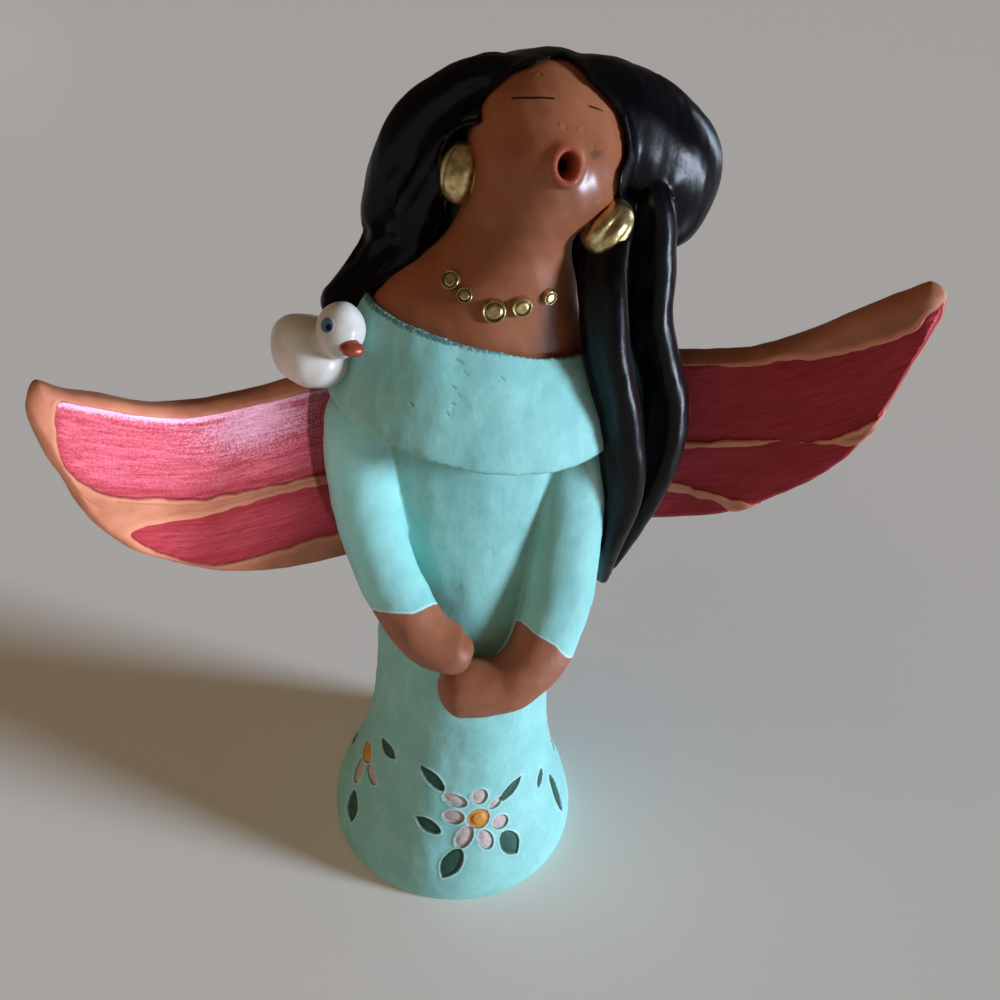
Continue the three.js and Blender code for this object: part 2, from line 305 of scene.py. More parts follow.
rollTree, rollSockets = makeRollTree()


def rollForm(rows, outward, rings=90, sides=48, grooves=0, depth=0.0, bearing=0, narrow=3.0, wander=0.0,
             seed=0):
    # rows of x, y, z, half width and half depth, with the depth measured along outward
    t = 0.5 - 0.5 * np.cos(np.linspace(0, math.pi, rings))
    centre = curveAt([row[:3] for row in rows], t)
    wide, deep = curveAt([row[3:5] for row in rows], t).T
    ahead = unit(np.gradient(centre, axis=0))
    out = np.asarray(outward, float)
    out = unit(out - (ahead @ out)[:, None] * ahead)
    side = np.cross(ahead, out)
    along = np.concatenate([[0], np.cumsum(np.linalg.norm(np.diff(centre, axis=0), axis=1))])
    toEnd = np.clip(np.minimum(along, along[-1] - along) / (0.9 * np.minimum(wide, deep)), 0, 1)
    fill = np.maximum(0.03, np.sqrt(1 - (1 - toEnd) ** 2))
    mesh = bpy.data.meshes.new("rollPath")
    mesh.from_pydata(centre.tolist(), [(i, i + 1) for i in range(rings - 1)], [])
    wide, deep = wide * fill, deep * fill
    fields = dict(halfWide=wide, halfDeep=deep, along=along, fill=fill, sideWay=side, outWay=out)
    for name, values in fields.items():
        storeField(mesh, name, values)
    inputs = dict(sides=sides, grooves=float(grooves), depth=depth, bearing=math.radians(bearing),
                  narrow=narrow, wander=wander, seed=float(seed))
    swept = grownMesh(mesh, rollTree, rollSockets, inputs)
    form = meshArrays(swept)
    bpy.data.meshes.remove(swept)
    return form


def meshArrays(mesh):
    points = np.zeros(len(mesh.vertices) * 3, np.float32)
    mesh.vertices.foreach_get("co", points)
    mesh.calc_loop_triangles()
    faces = np.zeros(len(mesh.loop_triangles) * 3, np.int32)
    mesh.loop_triangles.foreach_get("vertices", faces)
    return facingOut(points.reshape(-1, 3).astype(float), faces.reshape(-1, 3))


# a block of distances that forms are pressed into, and the skin over it

class Clay:
    reach = 4.0

    def __init__(self, low, high, cell):
        self.cell = cell
        self.start = np.floor(np.array(low) / cell).astype(int) - 3
        self.shape = tuple(np.ceil(np.array(high) / cell).astype(int) + 3 - self.start)
        self.field = np.full(self.shape, self.reach, np.float32)
        self.spacing = vdb.createLinearTransform(voxelSize=cell)

    def distance(self, form):
        points, faces = form
        grid = vdb.FloatGrid.createLevelSetFromPolygons(
            np.ascontiguousarray(points, np.float32), triangles=np.ascontiguousarray(faces, np.uint32),
            transform=self.spacing, halfWidth=self.reach / self.cell)
        block = np.full(self.shape, self.reach, np.float32)
        grid.copyToArray(block, ijk=tuple(int(i) for i in self.start))
        return block

    def join(self, block, blend):
        near = np.maximum(blend - np.abs(self.field - block), 0)
        self.field = np.minimum(self.field, block) - near * near / (4 * blend)

    def add(self, form, blend=0.01):
        block = self.distance(form)
        self.join(block, blend)
        return block

    def cut(self, block, blend=0.01):
        block = -block
        near = np.maximum(blend - np.abs(self.field - block), 0)
        self.field = np.maximum(self.field, block) + near * near / (4 * blend)

    def cells(self):
        # places of all cells, in mm
        axes = [(self.start[k] + np.arange(self.shape[k])) * self.cell for k in range(3)]
        return np.meshgrid(*axes, indexing="ij", sparse=True)

    def sample(self, block, points):
        place = points / self.cell - self.start
        corner = np.clip(np.floor(place).astype(int), 0, np.array(self.shape) - 2)
        part = np.clip(place - corner, 0, 1)
        total = 0
        for k in range(8):
            shift = np.array([k & 1, k >> 1 & 1, k >> 2 & 1])
            share = np.prod(np.where(shift == 1, part, 1 - part), axis=1)
            total = total + share * block[tuple((corner + shift).T)]
        return total

    def skin(self):
        grid = vdb.FloatGrid(self.reach)
        grid.copyFromArray(self.field, ijk=tuple(int(i) for i in self.start))
        grid.transform = self.spacing
        points, quads = grid.convertToQuads()
        points, quads = np.array(points, float), np.array(quads, int)
        a, b, c, d = quads.T
        short = np.linalg.norm(points[a] - points[c], axis=1) <= np.linalg.norm(points[b] - points[d], axis=1)
        first = np.where(short[:, None], np.stack([a, b, c], 1), np.stack([a, b, d], 1))
        second = np.where(short[:, None], np.stack([a, c, d], 1), np.stack([b, c, d], 1))
        return facingOut(points, np.vstack([first, second]))


def normalsOf(points, faces):
    a, b, c = (points[faces[:, k]] for k in range(3))
    flat = np.cross(b - a, c - a)
    total = np.stack([np.bincount(faces.ravel(), np.repeat(flat[:, k], 3), len(points)) for k in range(3)], 1)
    return unit(total)


def relax(points, faces, times=2, pull=0.5):
    # evens the skin out a little without shrinking it
    edges = np.vstack([faces[:, [0, 1]], faces[:, [1, 2]], faces[:, [2, 0]]])
    start, end = edges.T
    count = np.maximum(np.bincount(start, minlength=len(points)), 1)[:, None]
    for strength in [pull, -pull - 0.03] * times:
        total = [np.bincount(start, points[end, k], len(points)) for k in range(3)]
        points = points + strength * (np.stack(total, 1) / count - points)
    return points


def refine(points, faces, wanted):
    # splits the faces whose corners are wanted, and keeps the skin closed
    edges = np.sort(np.vstack([faces[:, [0, 1]], faces[:, [1, 2]], faces[:, [2, 0]]]), axis=1)
    unique, inverse = np.unique(edges[:, 0].astype(np.int64) * len(points) + edges[:, 1], return_inverse=True)
    sideOf = inverse.reshape(3, -1).T
    marked = np.zeros(len(unique), bool)
    marked[sideOf[wanted[faces].any(1)].ravel()] = True
    while True:
        pair = marked[sideOf].sum(1) == 2
        if not pair.any():
            break
        marked[sideOf[pair].ravel()] = True
    number = np.full(len(unique), -1)
    number[marked] = len(points) + np.arange(marked.sum())
    ends = np.stack([unique // len(points), unique % len(points)], 1)[marked]
    grown = np.vstack([points, points[ends].mean(1)])
    split = marked[sideOf].sum(1)
    parts = [faces[split == 0]]
    a, b, c = faces[split == 3].T
    ab, bc, ca = number[sideOf[split == 3]].T
    parts += [np.stack(trio, 1) for trio in ((a, ab, ca), (b, bc, ab), (c, ca, bc), (ab, bc, ca))]
    for k in range(3):
        chosen = (split == 1) & marked[sideOf[:, k]]
        a, b, c = faces[chosen][:, [k, (k + 1) % 3, (k + 2) % 3]].T
        middle = number[sideOf[chosen, k]]
        parts += [np.stack([a, middle, c], 1), np.stack([middle, b, c], 1)]
    return grown, np.vstack(parts)


def step(values, low, high):
    t = np.clip((values - low) / (high - low), 0, 1)
    return t * t * (3 - 2 * t)


def thinned(piece, wanted):
    # fewer triangles where the skin is nearly flat
    collapse = piece.modifiers.new("thin", "DECIMATE")
    collapse.ratio = wanted / len(piece.data.polygons)
    dense, piece.data = piece.data, evaluatedMesh(piece)
    piece.modifiers.clear()
    bpy.data.meshes.remove(dense)


def makePiece(name, points, faces, material, fields=None, most=180000):
    mesh = bpy.data.meshes.new(name)
    mesh.vertices.add(len(points))
    mesh.vertices.foreach_set("co", (points * 0.001).astype(np.float32).ravel())
    mesh.loops.add(len(faces) * 3)
    mesh.loops.foreach_set("vertex_index", faces.astype(np.int32).ravel())
    mesh.polygons.add(len(faces))
    mesh.polygons.foreach_set("loop_start", np.arange(0, len(faces) * 3, 3, dtype=np.int32))
    mesh.update(calc_edges=True)
    mesh.polygons.foreach_set("use_smooth", np.ones(len(faces), bool))
    for field, values in (fields or {}).items():
        storeField(mesh, field, values)
    mesh.materials.append(material)
    piece = addObject(name, mesh)
    if len(faces) > most:
        thinned(piece, most)
    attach(piece, "root")
    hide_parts("angel_figurine")
    print(name, len(piece.data.polygons), "triangles")
    return piece


# finishes

class Finish:
    # one material, whose nodes read the piece's own coordinates and the fields stored on its points
    sockets = dict(baseColor="Base Color", roughness="Roughness", metallic="Metallic", coat="Coat Weight",
                   gloss="Specular IOR Level", coatRoughness="Coat Roughness")

    def __init__(self, name, tones=None):
        self.material = bpy.data.materials.new(name)
        self.material.use_nodes = True
        self.tree = self.material.node_tree
        self.shader = next(node for node in self.tree.nodes if node.type == "BSDF_PRINCIPLED")
        self.where = Wire.node(self.tree, "ShaderNodeTexCoord", output="Object")
        self.tones = tones

    def field(self, name):
        return Wire.node(self.tree, "ShaderNodeAttribute", {"attribute_name": name}, output="Fac")

    def grain(self, scale, detail=3.0, roughness=0.55, distortion=0.0, where=None):
        inputs = {"Vector": where or self.where, "Scale": scale, "Detail": detail, "Roughness": roughness,
                  "Distortion": distortion}
        return Wire.node(self.tree, "ShaderNodeTexNoise", inputs=inputs)

    def drawn(self, height, scale):
        # grain drawn out upwards, as a brush leaves it
        inputs = {"Vector": self.where, "Scale": (1.0, 1.0, height)}
        return self.grain(scale, 3.0, where=Wire.node(self.tree, "ShaderNodeMapping", inputs=inputs))

    def blend(self, mask, low, high):
        # the low colour where the mask is 0 and the high one where it is 1
        low, high = (self.tones[tone] if isinstance(tone, str) else tone for tone in (low, high))
        low, high = (tone if isinstance(tone, Wire) else (*tone, 1) for tone in (low, high))
        return Wire.node(self.tree, "ShaderNodeMix", {"data_type": "RGBA"}, {0: mask, 6: low, 7: high}, 2)

    def lay(self, mask, tone):
        self.color = self.blend(mask, self.color, tone)

    def feed(self, **values):
        # links for what changes over the surface, plain numbers for the rest
        for key, value in values.items():
            socket = self.shader.inputs[self.sockets[key]]
            if isinstance(value, Wire):
                self.tree.links.new(value.socket, socket)
            else:
                socket.default_value = value

    def bump(self, height, distance):
        made = Wire.node(self.tree, "ShaderNodeBump", inputs={"Height": height, "Distance": distance})
        self.tree.links.new(made.socket, self.shader.inputs["Normal"])


skinFinish = dict(clay=(0.365, 0.132, 0.062), deep=(0.27, 0.086, 0.037), lips=(0.36, 0.075, 0.042),
                  dark=(0.022, 0.011, 0.008), rough=0.42, gloss=0.16, polishRough=0.28, relief=0.00012)


def skinColor(finish):
    base = finish.blend(finish.grain(70.0, 4.0).fade(0.3, 0.75), skinFinish["deep"], skinFinish["clay"])
    return finish.blend(finish.grain(900.0, 2.0).fade(0.55, 0.8) * 0.25, base, skinFinish["deep"])


def makeSkinFinish():
    slip = Finish("brownSlip", skinFinish)
    slip.color = skinColor(slip)
    slip.lay(slip.field("lips").fade(0.0, 1.0), "lips")
    slip.lay(slip.field("smudge") * slip.grain(420.0, 2.0).fade(0.45, 0.62) * 0.6, "dark")
    # dark eye lines, and painted shade in the nostrils' pinholes and deep in the mouth
    slip.lay(slip.field("incisedAndShade").fade(0.1, 0.7), "dark")
    slip.feed(baseColor=slip.color, roughness=skinFinish["rough"] + slip.grain(160.0, 3.0) * 0.14,
              coat=slip.field("polish"), gloss=skinFinish["gloss"], coatRoughness=skinFinish["polishRough"])
    slip.bump(slip.grain(260.0, 4.0) + slip.grain(1500.0, 2.0) * 0.12, skinFinish["relief"])
    return slip.material


dressFinish = dict(paint=(0.30, 0.64, 0.575), pale=(0.36, 0.71, 0.64), deep=(0.20, 0.50, 0.46),
                   petal=(0.62, 0.50, 0.46), disc=(0.72, 0.30, 0.05), leaf=(0.02, 0.09, 0.06),
                   edge=(0.03, 0.05, 0.05), scratch=(0.07, 0.16, 0.16), border=(0.03, 0.10, 0.10),
                   fleck=(0.55, 0.72, 0.70), burr=(0.60, 0.80, 0.76), rough=0.52, relief=0.00013)


def makeDressFinish():
    paint = Finish("turquoisePaint", dressFinish)
    brushed = paint.drawn(0.22, 420.0)
    paint.color = paint.blend(paint.grain(90.0, 4.0).fade(0.35, 0.7), "deep", "paint")
    paint.lay(0.45, "paint")
    paint.lay(brushed.fade(0.5, 0.8) * 0.5, "pale")
    paint.lay(paint.grain(520.0, 5.0, 0.7).fade(0.52, 0.66) * 0.35, "deep")
    # flowers: a pale burr that is a painted highlight on the raised rim, the filled hollow, and a dark line
    # just inside its edge that is painted shade in the pressed groove
    ragged = (paint.grain(900.0, 2.0) - 0.5) * 0.35
    for name, inset in (("petal", 0.12), ("disc", 0.05), ("leaf", 0.08)):
        depth = paint.field(name) + ragged
        tone = dressFinish[name]
        shade = tuple(0.45 * value for value in tone)
        filled = paint.blend(0.6, paint.blend(paint.grain(700.0, 3.0).fade(0.35, 0.65), shade, tone), tone)
        paint.lay(depth.fade(-0.75, -0.5) * (1 - depth.fade(-0.3, -0.1)) * 0.55, "burr")
        paint.lay(depth.fade(inset - 0.12, inset + 0.12), filled)
        paint.lay(depth.fade(-0.25, -0.05) * (1 - depth.fade(0.05, 0.3)) * 0.6, "edge")
    paint.lay(paint.field("scratch") * 0.6, "scratch")
    # the neckline's dark border, worn to pale flecks towards the dove
    rough = paint.grain(1500.0, 4.0, 0.65)
    neck, wornAndLit = paint.field("neckline"), paint.field("flecked")
    flecks = rough.fade(0.54, 0.6) * (1 - neck.fade(0.4, 2.6)) * (0.25 + wornAndLit * 0.75)
    border = 1 - (neck + (rough - 0.5) * 1.6 - wornAndLit * 0.9).fade(0.35, 0.9)
    paint.lay(border * 0.8, "border")
    paint.lay(flecks * 0.75, "fleck")
    # brown hands past the cuffs, with a pale line just outside the brown
    hand = paint.field("hand")
    arm = (hand + (paint.grain(500.0, 2.0) - 0.5) * 0.5).fade(-0.1, 0.1)
    paint.lay(hand.fade(-0.75, -0.45) * (1 - hand.fade(-0.2, 0.0)) * 0.6, "burr")
    paint.lay(arm, skinColor(paint))
    paintRough = dressFinish["rough"] + paint.grain(300.0, 3.0) * 0.12
    sheen = paintRough + arm * (skinFinish["rough"] + 0.06 - paintRough)
    paint.feed(baseColor=paint.color, roughness=sheen)
    height = paint.grain(330.0, 4.0) + brushed * 0.6 + paint.grain(1400.0, 2.0) * 0.15
    paint.bump(height + flecks * 0.8, dressFinish["relief"])
    return paint.material


hairFinish = dict(black=(0.001, 0.001, 0.002), wornAndLit=(0.004, 0.004, 0.006), rough=0.22, gloss=0.22,
                  relief=0.00012)


def makeHairFinish():
    paint = Finish("blackPaint", hairFinish)
    brushed = paint.drawn(0.3, 240.0)
    paint.feed(baseColor=paint.blend(brushed.fade(0.5, 0.8), "black", "wornAndLit"),
               roughness=hairFinish["rough"] + paint.grain(200.0, 3.0) * 0.16, gloss=hairFinish["gloss"])
    paint.bump(brushed + paint.grain(700.0, 3.0) * 0.25, hairFinish["relief"])
    return paint.material


# the pink and the pale pink-white are painted highlight; bare is the strips' unpainted clay, brightened as a
# painted highlight; line is a dark outline, partly painted shadow under the rim
wingFinish = dict(clay=(0.44, 0.165, 0.09), deep=(0.31, 0.105, 0.052), bare=(0.70, 0.27, 0.16),
                  line=(0.085, 0.012, 0.012), crimson=(0.35, 0.026, 0.034), dark=(0.27, 0.017, 0.023),
                  litPink=(0.64, 0.13, 0.175), paintedHighlight=(0.95, 0.50, 0.66), gloss=0.22, relief=0.0002)


def makeWingFinish():
    wing = Finish("terracottaAndCrimson", wingFinish)
    along, across = wing.field("along"), wing.field("across")
    panel, wornAndLit, shine = wing.field("panel"), wing.field("wornAndLit"), wing.field("paintedHighlight")
    # brush strokes run along each wing
    lane = Wire.node(wing.tree, "ShaderNodeCombineXYZ", inputs={"X": along * 0.09, "Y": across * 1.1})
    strokes = wing.grain(1.0, 6.0, 0.66, 0.5, where=lane)
    flakes = wing.grain(1900.0, 3.0, 0.6)
    cloud = wing.grain(80.0, 4.0)
    wing.color = wing.blend(cloud.fade(0.3, 0.72), "deep", "clay")
    # the clay just outside the fields is brightened: a painted highlight where the raised strips catch the
    # light, full on the right wing
    wing.lay(panel.fade(-2.4, -0.6) * wornAndLit, "bare")
    # the lit pink and the pale pink-white are painted highlight, laid where the stored highlight field is
    # high: near the left wing's root and top edge, none on the right wing
    litPink = wing.blend((strokes * 0.55 + flakes * 0.45).fade(0.32, 0.62), "crimson", "litPink")
    paint = wing.blend(strokes.fade(0.3, 0.55), "dark", "crimson")
    paint = wing.blend((shine * 1.4).fade(0.0, 1.0), paint, litPink)
    paint = wing.blend((shine + strokes * 0.35 + flakes * 0.65 - 0.5).fade(0.66, 1.1) * 0.8, paint, "paintedHighlight")
    edge = panel + (wing.grain(800.0, 3.0) - 0.5) * 0.5
    mask = edge.fade(-0.1, 0.12)
    wing.lay(mask, paint)
    # a dark line round the fields, partly painted outline and partly painted shadow under the rim; stronger
    # near the top edge, and left off where the strips are brightened
    line = edge.fade(-0.5, -0.15) * (1 - edge.fade(0.2, 0.5))
    wing.lay(line * (1 - wornAndLit) * (1 - across.fade(8, 14) * 0.5), "line")
    # darker clay along the scored lines: painted shade in the grooves
    wing.lay(wing.field("scored") * 0.6, "deep")
    wing.feed(baseColor=wing.color, roughness=0.48 + cloud * 0.1 + mask * (flakes * 0.2 - 0.16),
              metallic=mask * 0.35, gloss=wingFinish["gloss"])
    painted = strokes * (0.35 + shine * 0.9) + flakes * 0.5
    wing.bump(wing.grain(300.0, 4.0) * (1 - mask) * 0.6 + painted * mask, wingFinish["relief"])
    return wing.material


doveFinish = dict(white=(0.73, 0.70, 0.64), bare=(0.46, 0.39, 0.30), iris=(0.09, 0.17, 0.33),
                  pupil=(0.006, 0.006, 0.012), beak=(0.42, 0.085, 0.05), rough=0.24, relief=0.00015)


def makeDoveFinish():
    paint = Finish("whitePaint", doveFinish)
    paint.color = paint.blend(paint.grain(130.0, 4.0).fade(0.35, 0.7), "bare", "white")
    paint.lay(0.55, "white")
    paint.lay(paint.field("iris").fade(-0.1, 0.1), "iris")
    paint.lay(paint.field("pupil").fade(-0.1, 0.1), "pupil")
    beak = paint.field("beak").fade(-0.15, 0.15)
    paint.lay(beak, "beak")
    paint.feed(baseColor=paint.color, roughness=doveFinish["rough"] + paint.grain(200.0, 3.0) * 0.12,
               metallic=beak * 0.5)
    paint.bump(paint.grain(220.0, 3.0), doveFinish["relief"])
    return paint.material


goldFinish = dict(bright=(0.86, 0.69, 0.34), dull=(0.46, 0.33, 0.13), furrowShade=(0.035, 0.022, 0.012),
                  rough=0.24, relief=0.00014)


def makeGoldFinish():
    gold = Finish("goldPaint", goldFinish)
    cloud = gold.grain(420.0, 4.0)
    gold.color = gold.blend(cloud.fade(0.35, 0.65), "dull", "bright")
    # painted shade in the furrow round each disc's middle
    gold.lay(gold.field("furrowShade") * 0.85, "furrowShade")
    gold.feed(baseColor=gold.color, roughness=goldFinish["rough"] + cloud * 0.18,
              metallic=cloud.fade(0.0, 0.4) * 0.1 + 0.86)
    gold.bump(cloud + gold.grain(1400.0, 2.0) * 0.3, goldFinish["relief"])
    return gold.material


# dress: skirt, bodice, collar and both arms with their hands

dress = dict(
    cell=0.52, hemLift=2.6, foot=35.6, stem=23.2, blendArms=0.9, blendCollar=0.7,
    bodice=[[0, 0.5, 90, 23, 22.2, 0], [-0.3, 1, 106, 24.3, 20.5, 0], [-0.8, 1.5, 122, 26.8, 19, 2],
            [-1, 2, 138, 28, 18, 6], [-1, 2, 152, 27, 17, 8]],
    collar=[[0, 1.5, 160.3, 22, 13, 13], [0.3, 1.5, 166.8, 25.6, 16, 13], [0.1, 1, 166, 27, 17.2, 13],
            [-0.4, 0.2, 159.3, 30, 20.2, 12.5], [-0.8, -0.8, 151.5, 32.2, 22.6, 11],
            [-1.1, -1.4, 144.2, 33.6, 24, 9.5], [-1.1, -1.2, 143.6, 32.4, 22.8, 9.5],
            [-1.1, -0.5, 146.2, 26, 17, 9.5]],
    upperArm=[[-26, -1, 152, 8, 8], [-27.1, -5, 140, 8.3, 8], [-26.4, -12, 125.5, 7.8, 7.6],
              [-22, -20.5, 111.5, 7.2, 7], [-15.4, -26.8, 100.8, 6.8, 6.2], [-8.2, -29.6, 96, 6.2, 5.8],
              [-2.8, -30.2, 95.2, 4.8, 4.9]],
    lowerArm=[[22.6, -1, 147, 8.8, 8], [21.8, -7, 132, 9, 8], [20.9, -13, 116, 8.8, 7.8],
              [18.9, -19.5, 100.5, 8.4, 7.4], [14.3, -25, 88, 8, 6.8], [6, -28.2, 81.2, 7.4, 6.4],
              [-4, -28.2, 80.9, 7.8, 6.2], [-10.5, -27, 80.2, 7, 5.6]],
    outward=(0, -1, 0.25), uneven=[(0.16, 17, 3), (0.07, 6, 4)], scratchWide=0.2, scratchDeep=0.12,
    fineEdge=0.55, fineScratch=0.8, armReach=14, flecked=(6, -14),
)


def skirtRows():
    grow = dress["foot"] - dress["stem"]
    steps = [(0, grow - 1, 0), (1.5, grow, -0.2), (6, grow - 0.3, -0.4), (13, 0.82 * grow, -0.6),
             (21, 0.6 * grow, -0.6), (30, 0.36 * grow, -0.4), (42, 0.15 * grow, -0.1), (58, 0.05 * grow, 0),
             (74, 0, 0)]
    return [[x, 0, z, dress["stem"] + more, dress["stem"] + more, 0] for z, more, x in steps]


# flowers pressed into the flare: u runs along the hem and v up the slope, from each flower's middle
# an oval or a leaf: u, v, half length, half width, angle
fullFlower = [(-6.4, 6.4, 3.5, 1.9, 155), (0.4, 7.2, 2.5, 2.2, 88), (5.1, 3.6, 2.1, 1.3, 38),
              (6.5, -3.3, 2.5, 2.1, -30), (2.0, -7.4, 3.4, 2.0, -68), (-4.1, -5.8, 3.7, 2.1, 240),
              (-6.9, 0.7, 2.9, 2.3, 178)]
flowers = dict(
    lean=0.962, depth=0.5, discRadius=3.1, eyeRadius=1.9,
    front=dict(bearing=4.4, height=28.1, petals=fullFlower,
               leaves=[(-12.7, 13.0, 4.9, 1.7, 131), (-14.2, -2.9, 3.9, 1.7, 157),
                       (-7.9, -14.3, 5.5, 2.4, 240), (9.6, -11.5, 5.1, 2.4, -62),
                       (10.0, 6.1, 4.3, 1.5, 32)]),
    left=dict(bearing=-79.2, height=32.2,
              petals=[(0.3, -7.6, 4.2, 1.9, -82), (6.0, -2.8, 3.4, 2.1, -28)],
              leaves=[(-14.6, -11.0, 3.6, 1.6, 228), (8.9, 10.0, 3.6, 1.9, -18),
                      (4.6, -18.0, 5.0, 2.3, -66)]),
    right=dict(bearing=98, height=30, petals=fullFlower,
               leaves=[(-22.6, -1.0, 3.3, 1.1, 231), (-19.0, -13.3, 8.6, 1.5, 263),
                       (10.4, 10.6, 4.6, 1.7, 42), (12.0, -6.0, 4.4, 1.8, -30),
                       (0.6, -15.5, 5.0, 2.2, -88)]),
    back=dict(bearing=184, height=29, petals=fullFlower,
              leaves=[(-11.8, 12.9, 4.7, 1.7, 134), (-13.8, -3.0, 4.0, 1.7, 166),
                      (-6.9, -14.6, 5.3, 2.3, 243), (9.9, -10.6, 5.0, 2.3, -58),
                      (10.6, 7.0, 4.4, 1.6, 36)]),
)


def ovalDepth(u, v, oval):
    # how far inside an oval, in mm, negative outside
    cu, cv, long, wide, angle = oval
    c, s = math.cos(math.radians(angle)), math.sin(math.radians(angle))
    a, b = (u - cu) * c + (v - cv) * s, (v - cv) * c - (u - cu) * s
    size = np.sqrt((a / long) ** 2 + (b / wide) ** 2) + 1e-6
    return -size * (size - 1) / np.sqrt((a / long ** 2) ** 2 + (b / wide ** 2) ** 2 + 1e-9)


def leafDepth(u, v, leaf):
    # a leaf with a blunt inner end and a sharp tip
    cu, cv, long, wide, angle = leaf
    c, s = math.cos(math.radians(angle)), math.sin(math.radians(angle))
    a, b = ((u - cu) * c + (v - cv) * s) / long, (v - cv) * c - (u - cu) * s
    inside = np.clip(1 - a * a, 0, 1)
    half = 1.15 * wide * inside ** (0.55 + 0.45 * np.clip((a + 1) / 2, 0, 1))
    return np.minimum(half - np.abs(b), (1 - np.abs(a)) * long)


def flowerFields(points):
    petal, disc, leaf, eye = (np.full(len(points), -3.0) for _ in range(4))
    for side in ("front", "left", "right", "back"):
        flower = flowers[side]
        local = points @ turn((0, 0, -flower["bearing"])).T
        u = np.arctan2(local[:, 0], -local[:, 1]) * np.hypot(local[:, 0], local[:, 1])
        v = (local[:, 2] - flower["height"]) / flowers["lean"]
        near = (local[:, 1] < 0) & (local[:, 2] < 60)
        for depth, ovals, measure in ((petal, "petals", ovalDepth), (leaf, "leaves", leafDepth)):
            for oval in flower[ovals]:
                np.maximum(depth, np.where(near, measure(u, v, oval), -3), out=depth)
        radius = np.hypot(u - 0.1, v + 0.2)
        np.maximum(disc, np.where(near, flowers["discRadius"] - radius, -3), out=disc)
        np.maximum(eye, np.where(near, flowers["eyeRadius"] - radius, -3), out=eye)
    petal[disc > -0.1] = -3
    return petal, disc, leaf, eye


def pressed(depth, deep):
    # a stamped hollow with a low burr round it and a slightly domed floor
    return (-deep * step(depth, -0.15, 0.28) + 0.3 * deep * step(depth, 0.3, 1.4)
            + 0.28 * deep * np.exp(-((depth + 0.32) / 0.22) ** 2))


# short scratches on the collar, in pairs of ends
scratches = [((-8.2, -16.3, 166.4), (-6.8, -16.7, 165.7)), ((-6.6, -17.5, 164.3), (-5.8, -18.0, 163.4)),
             ((-9.2, -18.9, 161.6), (-8.4, -19.2, 161.0)), ((-8.0, -19.6, 160.1), (-7.4, -19.9, 159.5)),
             ((-9.2, -20.4, 158.4), (-8.6, -20.6, 158.0)), ((-10.3, -21.0, 156.6), (-9.9, -21.4, 155.9)),
             ((-9.1, -20.9, 157.0), (-9.3, -21.6, 155.2)), ((1.0, -17.8, 163.0), (1.8, -18.1, 162.2)),
             ((-17.6, -18.7, 157.6), (-17.2, -19.1, 157.1))]

# where the sleeves end: how far along each arm, in mm, at bearings round it from the outward side
cuffs = dict(
    upperArm=[(-180, 58), (-120, 58.5), (-86, 57.4), (-67, 56.2), (-50, 55.6), (-32, 55.1), (-17, 54.7),
              (2, 53.3), (20, 52.3), (33, 51.5), (60, 50.5), (120, 52), (180, 58)],
    lowerArm=[(-180, 62), (-61, 62.2), (-42, 62), (-20, 61), (-2, 59.7), (17, 59.1), (32, 58.7), (48, 58.2),
              (63, 57.4), (84, 57.4), (110, 59), (180, 62)],
)


def armPlace(points, rows):
    # for each point: distance along the arm's middle line and bearing round it, 0 on the outward side
    centre = curveAt([row[:3] for row in rows], np.linspace(0, 1, 160))
    along = np.concatenate([[0], np.cumsum(np.linalg.norm(np.diff(centre, axis=0), axis=1))])
    ahead = unit(np.gradient(centre, axis=0))
    out = np.asarray(dress["outward"], float)
    out = unit(out - (ahead @ out)[:, None] * ahead)
    side = np.cross(ahead, out)
    nearest = np.empty(len(points), int)
    for start in range(0, len(points), 20000):
        part = points[start:start + 20000]
        nearest[start:start + 20000] = ((part[:, None] - centre[None]) ** 2).sum(2).argmin(1)
    offset = points - centre[nearest]
    bearing = np.degrees(np.arctan2((offset * side[nearest]).sum(1), (offset * out[nearest]).sum(1)))
    return along[nearest] + (offset * ahead[nearest]).sum(1), bearing, np.linalg.norm(offset, axis=1)


